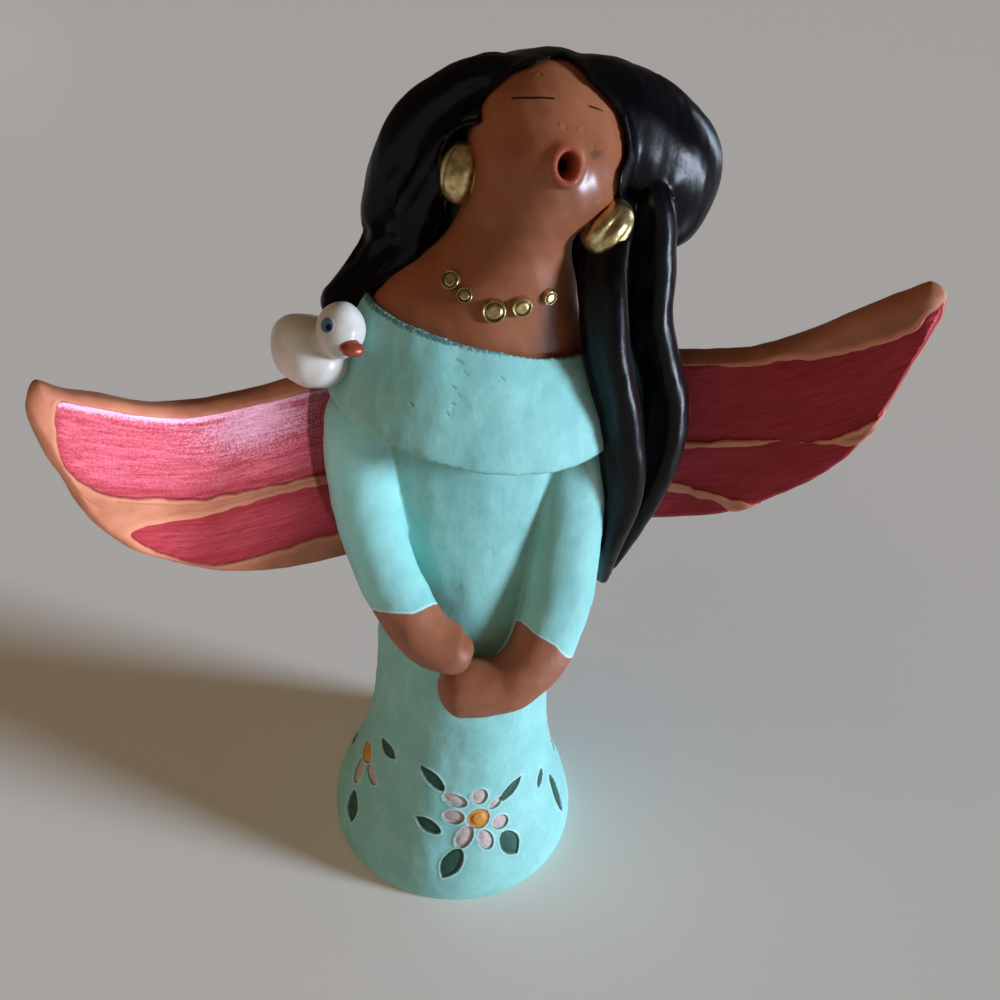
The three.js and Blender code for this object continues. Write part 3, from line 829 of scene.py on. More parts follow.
def makeDress():
    clay = Clay((-40, -40, 0), (40, 38, 182), dress["cell"])
    body = clay.add(stackForm(skirtRows() + dress["bodice"], 200, 180))
    collar = stackForm(dress["collar"], 160, 220)
    # the hem rises towards both shoulders
    rim = collar[0]
    rim[:, 2] += dress["hemLift"] * step(rim[:, 2], 158, 148) * (rim[:, 0] / 33) ** 2
    arms = {}
    for name in ("upperArm", "lowerArm"):
        arms[name] = clay.distance(rollForm(dress[name], dress["outward"], 110, 56))
    clay.join(np.minimum(arms["upperArm"], arms["lowerArm"]), dress["blendArms"])
    collarField = clay.add(collar, dress["blendCollar"])
    # the underside is pressed flat
    height = clay.cells()[2] + 0 * clay.field
    clay.field = np.maximum(clay.field, -height.astype(np.float32))
    points, faces = clay.skin()
    points = relax(points, faces, 2)
    petal, disc, leaf, eye = flowerFields(points)
    edge = np.minimum.reduce([np.abs(petal), np.abs(leaf), np.abs(disc), np.abs(eye)])
    fine = edge < dress["fineEdge"]
    for pair in scratches:
        fine |= lineDistance(points, pair) < dress["fineScratch"]
    points, faces = refine(points, faces, fine)
    clothField = np.minimum(body, collarField)
    armFields = {name: clay.sample(block, points) for name, block in arms.items()}
    cloth = clay.sample(clothField, points)
    hand = np.full(len(points), -3.0)
    for name, cuff in cuffs.items():
        along, bearing, away = armPlace(points, dress[name])
        bare = np.minimum(along - np.interp(bearing, *zip(*cuff)), cloth - armFields[name])
        hand = np.maximum(hand, np.where(away < dress["armReach"], bare, -3))
    petal, disc, leaf, eye = flowerFields(points)
    normals = normalsOf(points, faces)
    # the neckline is the third of 15 rings over the collar, each of 180 points
    edgeRing = stackForm(dress["collar"], 15, 180)[0][2 * 180:3 * 180]
    neckline = np.full(len(points), 9.0)
    high = points[:, 2] > 150
    neckline[high] = np.linalg.norm(points[high][:, None] - edgeRing[None], axis=2).min(1)
    scratch = np.zeros(len(points))
    for pair in scratches:
        scratch = np.maximum(scratch, np.exp(-(lineDistance(points, pair) / dress["scratchWide"]) ** 2))
    rise = unevenness(points, dress["uneven"]) * step(points[:, 2], 0.3, 6)
    rise += pressed(np.maximum(petal, leaf), flowers["depth"])
    rise += -0.3 * step(disc, -0.1, 0.3) + 0.45 * step(eye, -0.2, 0.5) - dress["scratchDeep"] * scratch
    points = points + normals * rise[:, None]
    points[:, 2] = np.maximum(points[:, 2], 0)
    fields = dict(petal=petal, disc=disc, leaf=leaf, hand=hand, scratch=scratch, neckline=neckline,
                  flecked=0.3 + 0.7 * step(points[:, 0], *dress["flecked"]))
    piece = makePiece("dress_and_arms", points, faces, makeDressFinish(), fields)


# head, neck and bare shoulders

head = dict(
    cell=0.42, centre=(10.7, 1, 204.4), radii=(16.2, 15.6, 17.2), tilt=(-32, -12, 0), blendNeck=3.2,
    faceWay=(-0.02, -math.cos(math.radians(20)), math.sin(math.radians(20))),
    mouth=(11.2, -15.1, 206.6), lipRadii=(2.3, 3.1), lipThick=0.8, mouthRadii=(1.85, 2.5), mouthDepth=5.2,
    shoulders=[[-1, 2, 148, 26, 16, 8], [-0.5, 2, 158, 26, 16.3, 12], [0, 2, 165, 25, 15.6, 13],
               [1.4, 2, 170.5, 22.4, 14.6, 14], [3, 1.5, 175.5, 18.2, 13.6, 14],
               [4.6, 1, 180.5, 15, 12.9, 13], [5, 0.5, 185.5, 12.8, 12.4, 11],
               [5.8, 0, 190, 12, 12.3, 9], [7.2, 0, 196, 12.4, 12.8, 6], [9, 1, 203, 10, 10, 4]],
    eyes=[[(1.67, -5.59, 215.87), (5.03, -7.41, 216.61), (8.81, -8.46, 216.89)],
          [(14.8, -8.7, 215.7), (16.6, -8.6, 215.4), (18.6, -8.0, 214.5)]],
    nostrils=[((9.9, -11.6, 213.0), (11.0, -12.0, 212.6)), ((13.5, -11.8, 212.4), (14.4, -12.0, 211.7))],
    dents=[(6.3, -2.1, 219.7), (7.1, -3.1, 219.5), (4.9, -3.1, 218.9), (5.6, -2.2, 219.5)],
    smudge=(17.1, -12.9, 208.7), polished=(16.3, -13.8, 200.6), polishWide=6,
    uneven=[(0.10, 13, 11), (0.04, 5, 12)], eyeWide=0.2, eyeDeep=0.16, pinWide=0.26, pinDeep=0.3,
    dotWide=0.42, dotHigh=0.22, dentWide=0.4, dentDeep=0.12,
)


def lipForm(radii, thick, place, way, rings=64, sides=20):
    # a ring of clay round the mouth, wider than it is tall by its two radii, closed on itself
    around = np.linspace(0, 2 * math.pi, rings, endpoint=False)[:, None]
    across = np.linspace(0, 2 * math.pi, sides, endpoint=False)[None]
    local = np.stack([(radii[0] + thick * np.cos(across)) * np.cos(around),
                      (radii[1] + thick * np.cos(across)) * np.sin(around),
                      thick * np.sin(across) * np.ones_like(around)], -1)
    points = (local @ facing(way) + place).reshape(-1, 3)
    i, j = np.meshgrid(np.arange(rings), np.arange(sides), indexing="ij")
    a, b = (i * sides + j).ravel(), (i * sides + (j + 1) % sides).ravel()
    c, d = ((i + 1) % rings * sides + j).ravel(), ((i + 1) % rings * sides + (j + 1) % sides).ravel()
    return facingOut(points, np.vstack([np.stack([a, b, d], 1), np.stack([a, d, c], 1)]))


def makeHead():
    clay = Clay((-30, -22, 147), (32, 22, 224), head["cell"])
    clay.add(stackForm(head["shoulders"], 120, 160))
    clay.add(eggForm(head["centre"], head["radii"], head["tilt"], 90, 120), head["blendNeck"])
    ahead = unit(head["faceWay"])
    clay.add(lipForm(head["lipRadii"], head["lipThick"], head["mouth"] - 0.3 * ahead, ahead), 1.8)
    hollow = eggForm((0, 0, 0), (*head["mouthRadii"], head["mouthDepth"]))
    clay.cut(clay.distance((hollow[0] @ facing(ahead) + head["mouth"], hollow[1])), 0.9)
    points, faces = clay.skin()
    points = relax(points, faces, 2)

    def eyeLines(where):
        return np.minimum(*(lineDistance(where, curveAt(eye, np.linspace(0, 1, 9))) for eye in head["eyes"]))

    def nearest(where, spots):
        return np.min([np.linalg.norm(where - spot, axis=1) for spot in spots], axis=0)

    dots, holes = zip(*head["nostrils"])
    for reach in (1.4, 0.6):
        near = (eyeLines(points) < reach) | (nearest(points, dots + holes + tuple(head["dents"])) < reach)
        points, faces = refine(points, faces, near)
    normals = normalsOf(points, faces)
    lines = eyeLines(points)
    pin = np.exp(-(nearest(points, holes) / head["pinWide"]) ** 2)
    rise = unevenness(points, head["uneven"])
    rise -= head["eyeDeep"] * np.exp(-(lines / head["eyeWide"]) ** 2) + head["pinDeep"] * pin
    rise += head["dotHigh"] * np.exp(-(nearest(points, dots) / head["dotWide"]) ** 2)
    rise -= head["dentDeep"] * np.exp(-(nearest(points, head["dents"]) / head["dentWide"]) ** 2)
    # dark eye lines, and painted shade in the nostrils' pinholes
    incisedAndShade = 0.85 * np.exp(-(lines / 0.23) ** 4) + 0.7 * pin
    offset = points - head["mouth"]
    deep = -offset @ ahead
    inFace = offset @ facing(ahead)[:2].T / head["lipRadii"]
    ringAway = np.where(np.linalg.norm(offset, axis=1) < 9, np.hypot(*inFace.T), 9)
    lips = 0.55 * step(ringAway, 1.7, 1.1) + 0.45 * step(ringAway, 1.05, 0.75)
    # painted shade deep inside the mouth
    incisedAndShade += 0.75 * step(ringAway, 0.7, 0.3) * step(deep, 3.0, 4.8)
    polish = np.exp(-(np.linalg.norm(points - head["polished"], axis=1) / head["polishWide"]) ** 2)
    smudge = np.exp(-(np.linalg.norm((points - head["smudge"]) * (1, 1, 0.8), axis=1) / 1.7) ** 2)
    points = points + normals * rise[:, None]
    fields = dict(lips=lips, smudge=smudge, incisedAndShade=np.clip(incisedAndShade, 0, 1), polish=polish)
    piece = makePiece("head_and_shoulders", points, faces, makeSkinFinish(), fields, 140000)


# hair: cap, curtain, roll and long locks, cut back to the hairline

hair = dict(
    cell=0.5, overHead=1.5, blend=1.1,
    cap=((11, 9.5, 203.5), (20.5, 15, 16.6), (0, 10, 0)),
    nape=((-1, 11, 183.5), (11.8, 7.5, 15), (0, 0, 0)),
    curtain=[[9, 4, 214.5, 7, 7], [-1, 5, 211, 10.6, 8.5], [-10.4, 7, 202, 12, 8], [-15.2, 9, 188, 11.2, 7.5],
             [-19.2, 8, 177.5, 8.6, 7.2], [-33.4, 6.5, 164, 5.4, 5]],
    roll=[[10, 3, 215.6, 7, 7], [20, 2, 212.4, 10, 8.5], [30.5, 4, 206.6, 11.6, 10], [38, 6, 199, 11.8, 10],
          [38.5, 6, 190, 9.4, 8], [34, 4, 182, 6, 6]],
    innerLock=[[26, 0, 196, 5.5, 5], [23.4, -8.6, 182, 5.4, 6.4], [25.3, -12.2, 166, 5.8, 6.8],
               [30.6, -12.8, 148, 6, 6.8], [33.4, -12.2, 130, 5.8, 6.8], [32.1, -10.6, 112, 4.8, 5.4],
               [33, -8, 96, 2.2, 2.6]],
    outerLock=[[29, 2, 206, 3, 3.5], [33, -1, 195, 5, 5.4], [35.8, -1, 181, 6.1, 6.2],
               [37, -2, 166, 6.3, 6.4], [42.9, -3, 149, 6.6, 6.8], [43.5, -4, 133, 6.6, 6.8],
               [38.6, -5, 115, 5.8, 5.8], [34.6, -6, 98, 2.2, 2.6]],
    backLocks=5,
    shapes=dict(curtain=dict(sides=96, grooves=5, depth=0.2, bearing=62, wander=0.7, seed=1),
                roll=dict(grooves=4, depth=0.05, wander=1.0, seed=2),
                backLock=dict(grooves=4, depth=0.08, wander=2.0),
                longLock=dict(grooves=3, depth=0.24, bearing=40, narrow=1.2, wander=0.5)),
    # the plane square to the photographer's view of the head, with the cut in front of it, in mm
    view=(0.2091, 0.9227, -0.3239), right=(0.97528, -0.22098, 0), up=(0.07158, 0.31589, 0.94609), front=3.0,
    # on that plane, across and up from the head's middle: a parting in the curtain, the hollow beside it
    # and the opening for the face
    parting=[(-14, 9.8), (-18.5, 6), (-23.2, 0.6), (-27.3, -5.4), (-31.2, -12), (-34.9, -18.4), (-38.6, -25)],
    partingDeep=0.9, partingWide=2.2,
    hollow=[(-19.8, 3.9), (-23.0, -1.9), (-26.2, -8.5), (-29.9, -15.3), (-32.5, -21.0), (-35.2, -26.1),
            (-34, -32), (-24, -28), (-16, -20), (-14, -10), (-12, 0), (-13, 5)],
    hollowDeep=1.7,
    opening=[(1.0, 17.0), (2.8, 16.4), (5.5, 14.5), (6.7, 13.0), (9.7, 10.9), (11.9, 9.0), (13.6, 7.4),
             (14.9, 4.7), (15.7, 1.9), (15.8, -0.8), (14.9, -4.1), (15.2, -7.6), (16.4, -11.5),
             (15.6, -15.6), (11.2, -19.0), (9.7, -29.5), (8.4, -37), (-31.6, -40.6), (-33.4, -32.5),
             (-32.3, -30.8), (-25.8, -26.3), (-20.7, -22.0), (-19.6, -18.6), (-18.6, -12.2), (-19.8, -7.6),
             (-20.6, -3.0), (-18.4, 1.4), (-13.8, 3.2), (-13.8, 7.1), (-12.4, 9.3), (-10.3, 11.6),
             (-7.9, 13.7), (-3.6, 15.4)],
)


def backLockRows(across):
    # one lock down the back; across runs from -1 to 1
    edge = across * across
    return [[11 + 9 * across, 13 - 2 * edge, 212 - 3 * edge, 6, 6],
            [9 + 16 * across, 19 - 4 * edge, 196, 7.4, 8],
            [5 + 20 * across, 19 - 2 * edge, 178, 7.6, 7.5],
            [3 + 19.5 * across, 20.5 - 1.5 * edge, 158, 7.4, 7],
            [3 + 17 * across, 21.5 - edge, 136, 6.6, 6.5],
            [3 + 13 * across, 20 - edge, 116, 5.4, 5.5],
            [3 + 8 * across, 18.5, 94 + 13 * edge, 2.2, 2.6]]


def outlineDepth(u, v, corners):
    # how far inside a closed outline, negative outside
    corners = np.asarray(corners, float)
    best = np.full(u.shape, 1e6)
    inside = np.zeros(u.shape, bool)
    for (ax, ay), (bx, by) in zip(corners, np.roll(corners, -1, axis=0)):
        ex, ey = bx - ax, by - ay
        part = np.clip(((u - ax) * ex + (v - ay) * ey) / (ex * ex + ey * ey + 1e-12), 0, 1)
        best = np.minimum(best, (u - ax - part * ex) ** 2 + (v - ay - part * ey) ** 2)
        crosses = ((ay > v) != (by > v)) & (u < ax + ex * (v - ay) / (ey if abs(ey) > 1e-12 else 1e-12))
        inside ^= crosses
    return np.where(inside, 1, -1) * np.sqrt(best)


def smoothOutline(corners, steps):
    # a closed smooth line through the corners
    corners = np.asarray(corners, float)
    wrapped = np.vstack([corners[-2:], corners, corners[:3]])
    t = np.linspace(2, 2 + len(corners), steps, endpoint=False) / (len(wrapped) - 1)
    return curveAt(wrapped, t)


def seenAt(x, y, z):
    # slides places along the view to a plane through the head's middle: across and up on it
    x, y, z = x - head["centre"][0], y - head["centre"][1], z - head["centre"][2]
    u, v, d = (x * way[0] + y * way[1] + z * way[2] for way in (hair["right"], hair["up"], hair["view"]))
    away = math.dist(shot["place"], head["centre"])
    return u * away / (away + d), v * away / (away + d)


def lookUp(table, start, spacing, u, v):
    # a value between the four nearest of an evenly spaced table
    i, j = (u - start) / spacing, (v - start) / spacing
    i = np.clip(i, 0, table.shape[0] - 1.001)
    j = np.clip(j, 0, table.shape[1] - 1.001)
    a, b = i.astype(int), j.astype(int)
    p, q = i - a, j - b
    return ((1 - p) * (1 - q) * table[a, b] + p * (1 - q) * table[a + 1, b]
            + (1 - p) * q * table[a, b + 1] + p * q * table[a + 1, b + 1])


def makeHair():
    clay = Clay((-46, -18, 88), (54, 34, 226), hair["cell"])
    shell = clay.distance(eggForm(head["centre"], head["radii"], head["tilt"], 90, 120)) - hair["overHead"]
    clay.field = np.minimum(clay.field, shell.astype(np.float32))
    clay.add(eggForm(*hair["cap"]), 2.0)
    clay.add(eggForm(*hair["nape"]), 2.0)
    for lock, outward in (("curtain", (-0.3, -1, 0)), ("roll", (0, -1, 0.2))):
        clay.add(rollForm(hair[lock], outward, **hair["shapes"][lock]), hair["blend"])
    for k in range(hair["backLocks"]):
        across = 2 * k / (hair["backLocks"] - 1) - 1
        form = rollForm(backLockRows(across), (0.3 * across, 1, 0), seed=5 + k, **hair["shapes"]["backLock"])
        clay.add(form, 0.8)
    x, y, z = clay.cells()
    # every cell is looked up in a flat table of the opening
    u, v = seenAt(x, y, z)
    spacing = 0.5
    grid = np.arange(-48, 48.01, spacing)
    table = outlineDepth(*np.meshgrid(grid, grid, indexing="ij"), smoothOutline(hair["opening"], 200))
    opening = lookUp(table, grid[0], spacing, u, v)
    front = hair["front"] + head["centre"][1] - (y + 0 * opening)
    clay.cut(-np.minimum(opening, front).astype(np.float32), 0.9)
    # both long locks have three soft sides, with a ridge at the front towards +X
    for lock, outward, seed in (("innerLock", (0.1, -1, 0), 3), ("outerLock", (0.3, -1, 0), 4)):
        clay.add(rollForm(hair[lock], outward, seed=seed, **hair["shapes"]["longLock"]), 0.4)
    points, faces = clay.skin()
    points = relax(points, faces, 4)
    normals = normalsOf(points, faces)
    # unevenness drawn out upwards, coarse and fine
    rise = 0.11 * waves(points * (1, 1, 0.4), 9, 21) + 0.03 * waves(points * (1, 1, 0.35), 3, 22)
    u, v = seenAt(*points.T)
    ahead = step(-normals @ hair["view"], 0.0, 0.35)
    line = lineDistance(np.stack([u, v], 1), curveAt(hair["parting"], np.linspace(0, 1, 25)))
    rise -= hair["partingDeep"] * ahead * np.exp(-(line / hair["partingWide"]) ** 2)
    hollow = outlineDepth(u, v, smoothOutline(hair["hollow"], 120))
    rise -= hair["hollowDeep"] * ahead * step(hollow, -0.8, 3.4)
    piece = makePiece("hair", points + normals * rise[:, None], faces, makeHairFinish())


# wings: slabs between a top and a low edge, with sunk painted fields on the front
# outlines run in mm: along the wing from its root, and down from its top edge

wings = dict(
    left=dict(
        top=[[-8, 16, 145.4], [-30, 14.5, 146.4], [-50, 9.5, 144.6], [-68, 2, 145.7], [-83, -7, 154.4],
             [-91.6, -13.8, 161.9]],
        low=[[-8, 14.5, 93], [-30, 14, 91.4], [-48, 10, 91], [-66, 3, 97.8], [-85, -8.6, 119],
             [-94.3, -15, 154]],
        fields=[[(103, 3.1), (96.2, 1.7), (81, 1.6), (70, 1.3), (59.8, 1.2), (49.5, 1.5), (40, 1.2),
                 (20, 1.5), (8, 2), (6, 16), (8, 26.9), (20, 27), (34.5, 25.7), (47.4, 25), (62.7, 24.7),
                 (75.7, 24.3), (86.1, 23.7), (95.4, 20.9), (101.3, 17), (103.4, 10.1)],
                [(80.9, 34.3), (77.5, 32.4), (74.5, 31.6), (61.9, 30.3), (47.9, 28.9), (38, 28.8),
                 (20, 30.4), (8, 31.9), (6, 40), (8, 47.9), (20, 46.5), (32.5, 45.5), (44.3, 45.9),
                 (58.1, 45.9), (63.8, 44.9), (72.6, 41.2), (78.4, 37.5)]],
        paintedHighlight=dict(upper=25.5, root=44, spread=15, level=0.58, low=0.24), wornAndLit=0.25, seed=31, front=0.78,
        scored=[[(104.6, 1.5), (106.6, 4.5), (106.9, 9), (105.6, 14.1), (102.5, 19.8), (97, 24), (89, 27)],
                [(30, 27.5), (50, 26.2), (66, 26.2), (84, 25.6)],
                [(42, 27.5), (56, 27.4), (70, 28.7)]]),
    right=dict(
        top=[[8, 16, 147.3], [32, 14.2, 149.8], [55, 7.8, 153], [70, 1, 159], [84, -7.5, 171.6],
             [94.8, -14.8, 182.2]],
        low=[[8, 14.5, 98], [32, 14, 99.5], [54, 8.2, 102.5], [72, -0.5, 111.4], [90.3, -11, 134.6],
             [99, -16.4, 176.8]],
        fields=[[(8, 1.6), (30, 1.3), (49, 1.3), (56.5, 3.3), (69.9, 4), (79.9, 6.7), (92.6, 8.6), (110.5, 9),
                 (116.8, 6.8), (121.7, 5), (127.5, 6.2), (126, 11.4), (120, 19.2), (111, 27.5), (105.2, 28),
                 (94, 29.6), (82.2, 29.6), (72.3, 26.4), (60, 24.3), (51.5, 24.3), (30, 23.7), (8, 23.3)],
                [(8, 25.6), (30, 25.8), (51.6, 25.7), (64.4, 26.6), (74.8, 27.2), (82.1, 29.9),
                 (94.2, 33.7), (99.5, 34.1), (96.5, 38.2), (84.8, 45.6), (75.5, 48.8), (67.9, 44.3),
                 (59.2, 41), (48.4, 37.3), (30, 33.2), (8, 32.3)],
                [(8, 35.3), (30, 36.2), (48.1, 39.7), (56.4, 42.2), (60.3, 43.5), (65, 48.8), (56, 52.2),
                 (45, 52), (30, 51.7), (8, 51.3)]],
        paintedHighlight=dict(upper=50, root=44, spread=15, level=0, low=0), wornAndLit=1, seed=32, front=-0.2,
        scored=[]),
    thick=8, tipThick=6.8, tipBack=0.9, tipRound=3.2, tipTaper=8, corner=0.85, sunk=0.7,
    scoredWide=0.3, scoredDeep=0.2, flatFront=0.93,
)


def makeWing(side, material):
    wing = wings[side]
    # even steps, and closer ones at the tip
    atTip = 1 - 0.015 * (1 - np.linspace(0, 1, 14)) ** 1.7
    t = np.unique(np.append(np.linspace(0, 1, 300)[:-1] * 0.985, atTip))
    top, low = curveAt(wing["top"], t), curveAt(wing["low"], t)
    height = np.linalg.norm(low - top, axis=1)
    down = unit(low - top)
    span = unit(np.gradient(top, t, axis=0)) + unit(np.gradient(low, t, axis=0))
    front = unit(np.cross(span, down))
    front *= np.where(front[:, 1] > 0, -1, 1)[:, None]
    half = (wings["thick"] + (wings["tipThick"] - wings["thick"]) * t * t) / 2
    along = np.concatenate([[0], np.cumsum(np.linalg.norm(np.diff((top + low) / 2, axis=0), axis=1))])
    corner = wings["corner"] * half
    # one ring: front face, low corner, back face, top corner
    bend = np.radians(np.linspace(0, 90, 9))[1:]
    ins, outs = corner - corner * np.sin(bend)[:, None], half - corner + corner * np.cos(bend)[:, None]
    flat = height - 2 * corner
    ring = [(corner + s * flat, half) for s in np.linspace(0, 1, 110)]
    ring += [(height - a, b) for a, b in zip(ins, outs)]
    ring += [(height - a, -b) for a, b in zip(ins[::-1], outs[::-1])]
    ring += [(corner + s * flat, -half) for s in np.linspace(1, 0, 50)]
    ring += [(a, -b) for a, b in zip(ins, outs)]
    ring += [(a, b) for a, b in zip(ins[::-1], outs[::-1])]
    drop, out = np.array(ring).transpose(1, 2, 0)
    # the tip rounds off: its outline soon, its thickness from further back
    fill = {}
    for name, power in (("tipRound", 2), ("tipTaper", 2.4)):
        toTip = np.clip((along[-1] - along) / wings[name], 0, 1)
        fill[name] = np.maximum(np.sqrt(1 - (1 - toTip) ** power), 0.05)[:, None]
    drop = height[:, None] / 2 + (drop - height[:, None] / 2) * fill["tipRound"]
    out = out * fill["tipTaper"] - wings["tipBack"] * (t * t)[:, None]
    rings = top[:, None] + down[:, None] * drop[..., None] + front[:, None] * out[..., None]
    points, faces = closedSkin(rings)
    spanField = np.append(np.repeat(along, len(ring)), (along[0], along[-1]))
    dropField = np.append(drop.ravel(), (height[0] / 2, height[-1] / 2))
    outField = np.append(((out + wings["tipBack"] * (t * t)[:, None]) / half[:, None]).ravel(), (0, 0))
    outlines = [smoothOutline(outline, 220) for outline in wing["fields"]]
    joined = np.column_stack([points, spanField, dropField, outField])

    def depthOf(values):
        depths = [outlineDepth(values[:, 3], values[:, 4], outline) for outline in outlines]
        wander = 0.22 * waves(values[:, :3], 4, wing["seed"])
        # within 3 mm of the top edge only the flat front is painted
        onFront = values[:, 5] > np.where(values[:, 4] > 3, wing["front"], wings["flatFront"])
        return np.where(onFront, np.maximum.reduce(depths) + wander, -3)

    def scoredOf(values):
        best = np.full(len(values), 9.0)
        for line in wing["scored"]:
            corners = np.pad(np.array(line, float), ((0, 0), (0, 1)))
            best = np.minimum(best, lineDistance(values[:, 3:6] * (1, 1, 0), corners))
        return np.where(values[:, 5] > wings["flatFront"], best, 9)

    joined, faces = refine(joined, faces, (np.abs(depthOf(joined)) < 0.6) | (scoredOf(joined) < 0.5))
    depth = depthOf(joined)
    scored = np.exp(-(scoredOf(joined) / wings["scoredWide"]) ** 2)
    points = joined[:, :3]
    normals = normalsOf(points, faces)
    rise = unevenness(points, [(0.16, 14, wing["seed"] + 1), (0.06, 5, wing["seed"] + 2)])
    rise -= wings["sunk"] * step(depth, -0.22, 0.22) + wings["scoredDeep"] * scored
    rise += 0.03 * step(depth, 0.2, 1.0) * waves(joined[:, 3:6] * (0.12, 1, 0), 1.6, wing["seed"] + 3)
    points = points + normals * rise[:, None]
    span, drop = joined[:, 3], joined[:, 4]
    # painted highlight: strongest near the root and along the top edge of the upper field, weaker at the
    # fields' edges, less on the lower fields, none on the right wing
    paintedHighlight = wing["paintedHighlight"]
    glow = np.exp(-((span - paintedHighlight["root"]) / paintedHighlight["spread"]) ** 2) * step(drop, 22, 6)
    glow = np.maximum(glow, step(drop, 6, 2.5))
    inner = 0.45 + 0.55 * np.maximum(step(depth, 0.3, 4.5), glow)
    shine = np.where(drop < paintedHighlight["upper"], paintedHighlight["level"] * inner * (1 + 0.8 * glow), paintedHighlight["low"] * inner)
    # how much the strips are brightened as a painted highlight: fully on the right wing, a quarter on the
    # left
    wornAndLit = np.full(len(points), wing["wornAndLit"])
    fields = dict(panel=depth, along=span, across=drop, paintedHighlight=shine, scored=scored, wornAndLit=wornAndLit)
    piece = makePiece(side + "_wing", points, faces, material, fields, 120000)


# dove on the shoulder

dove = dict(
    cell=0.3,
    body=((-37.2, -3, 161.3), (8.8, 8.6, 7.4), (0, 20, 0)),
    back=((-41, -1.5, 164.2), (4.4, 5.5, 4.1), (0, 20, 0)),
    head=((-31.4, -9.3, 169.7), (5.1, 5.4, 6.2), (10, 8, 0)),
    beak=((-29.2, -14.6, 168.2), (2.5, 1.7, 1.75), (0, 12, 12)),
    iris=(-34.0, -12.6, 172.7), irisRadius=1.55, pupil=(-33.5, -13.0, 172.4), pupilRadius=0.85,
    uneven=[(0.08, 6, 41)],
)


def makeDove():
    clay = Clay((-48, -20, 152), (-22, 8, 178), dove["cell"])
    clay.add(eggForm(*dove["body"]))
    clay.add(eggForm(*dove["back"]), 2.2)
    clay.add(eggForm(*dove["head"]), 1.6)
    beak = clay.add(eggForm(*dove["beak"]), 0.4)
    points, faces = clay.skin()
    points = relax(points, faces, 2)
    beakField = 0.25 - clay.sample(beak, points)
    iris = dove["irisRadius"] - np.linalg.norm(points - dove["iris"], axis=1)
    pupil = dove["pupilRadius"] - np.linalg.norm(points - dove["pupil"], axis=1)
    rise = unevenness(points, dove["uneven"]) + 0.14 * step(iris, -0.2, 0.3)
    fields = dict(iris=iris, pupil=pupil, beak=beakField)
    points = points + normalsOf(points, faces) * rise[:, None]
    piece = makePiece("dove", points, faces, makeDoveFinish(), fields)


# earrings: fat gold drops with upright lobes

earrings = dict(
    lobes=7, lobeDepth=0.10, uneven=[(0.08, 4, 51)],
    drops=dict(left=((-6.8, -1.6, 200.0), (4.2, 3.9, 6.3), (0, 8, 0)),
               right=((22.7, -7.6, 191.4), (4.7, 4.9, 6.2), (0, 36, 0))),
)


def makeEarring(side, material):
    centre, radii, tilt = earrings["drops"][side]
    points, faces = eggForm((0, 0, 0), radii, (0, 0, 0), 70, 120)
    angle = np.arctan2(points[:, 1], points[:, 0])
    fat = 1 - (points[:, 2] / radii[2]) ** 2
    groove = (0.5 + 0.5 * np.cos(earrings["lobes"] * angle + 0.7)) ** 3
    points[:, :2] *= (1 - earrings["lobeDepth"] * groove * fat)[:, None]
    points = points @ turn(tilt).T + centre
    points = points + normalsOf(points, faces) * unevenness(points, earrings["uneven"])[:, None]
    piece = makePiece(side + "_earring", points, faces, material)


# necklace: stamped gold discs on the foot of the neck

necklace = dict(radii=[2.1, 1.75, 2.65, 2.3, 1.7], bearings=[-47, -31, -9, 7, 27],
                climbs=[0.477, 0.447, 0.421, 0.468, 0.525], height=0.75, rim=0.42)


def shoulderPoint(climb, angle):
    x, y, z, wide, deep, roll = curveAt(head["shoulders"], np.array([climb]))[0]
    across, roll = wide * math.cos(angle), math.radians(roll)
    return np.array([x + across * math.cos(roll), y + deep * math.sin(angle), z - across * math.sin(roll)])


def makeDiscTree():
    tree, sockets, spots = newTree("stampedDiscs", "Discs", spots="Geometry", height="Float", rim="Float",
                                   paint="Material")
    disc = Wire.node(tree, "GeometryNodeMeshUVSphere", inputs={"Segments": 40, "Rings": 26, "Radius": 1.0})
    where = Wire.node(tree, "GeometryNodeInputPosition")
    split = Wire.node(tree, "ShaderNodeSeparateXYZ", inputs={"Vector": where})
    x, y, z = split, split.other("Y"), split.other("Z")
    radius = (x * x + y * y).math("SQRT")
    # a ball pressed to a disc: upright rim, raised edge, hollow middle
    flat = z.math("SIGN") * (1 - radius.math("POWER", 10.0)).math("MAXIMUM", 0.0).math("SQRT")
    edge = radius.fade(0.74, 0.84) * (1 - radius.fade(0.9, 1.0))
    dish = (1 - radius.fade(0.5, 0.68)) * 0.9
    # the furrow between the hollow middle and the raised edge, stored for painted shade
    furrowShade = radius.fade(0.6, 0.7) * (1 - radius.fade(0.76, 0.85))
    lifted = flat * spots.other("height") + z.math("SIGN") * (edge + dish) * spots.other("rim")
    spot = Wire.node(tree, "ShaderNodeCombineXYZ", inputs={"X": x, "Y": y, "Z": lifted})
    marked = Wire.node(tree, "GeometryNodeStoreNamedAttribute",
                       inputs={"Geometry": disc, "Name": "furrowShade", "Value": furrowShade})
    shaped = Wire.node(tree, "GeometryNodeSetPosition", inputs={"Geometry": marked, "Position": spot})
    way, size = stored(tree, "outWay"), stored(tree, "size")
    turned = Wire.node(tree, "FunctionNodeAlignRotationToVector", {"axis": "Z"}, {"Vector": way})
    placed = Wire.node(tree, "GeometryNodeInstanceOnPoints",
                       inputs={"Points": spots, "Instance": shaped, "Rotation": turned, "Scale": size})
    whole = Wire.node(tree, "GeometryNodeRealizeInstances", inputs={"Geometry": placed})
    smooth = Wire.node(tree, "GeometryNodeSetShadeSmooth", inputs={"Geometry": whole})
    endTree(Wire.node(tree, "GeometryNodeSetMaterial",
                      inputs={"Geometry": smooth, "Material": spots.other("paint")}))
    return tree, sockets


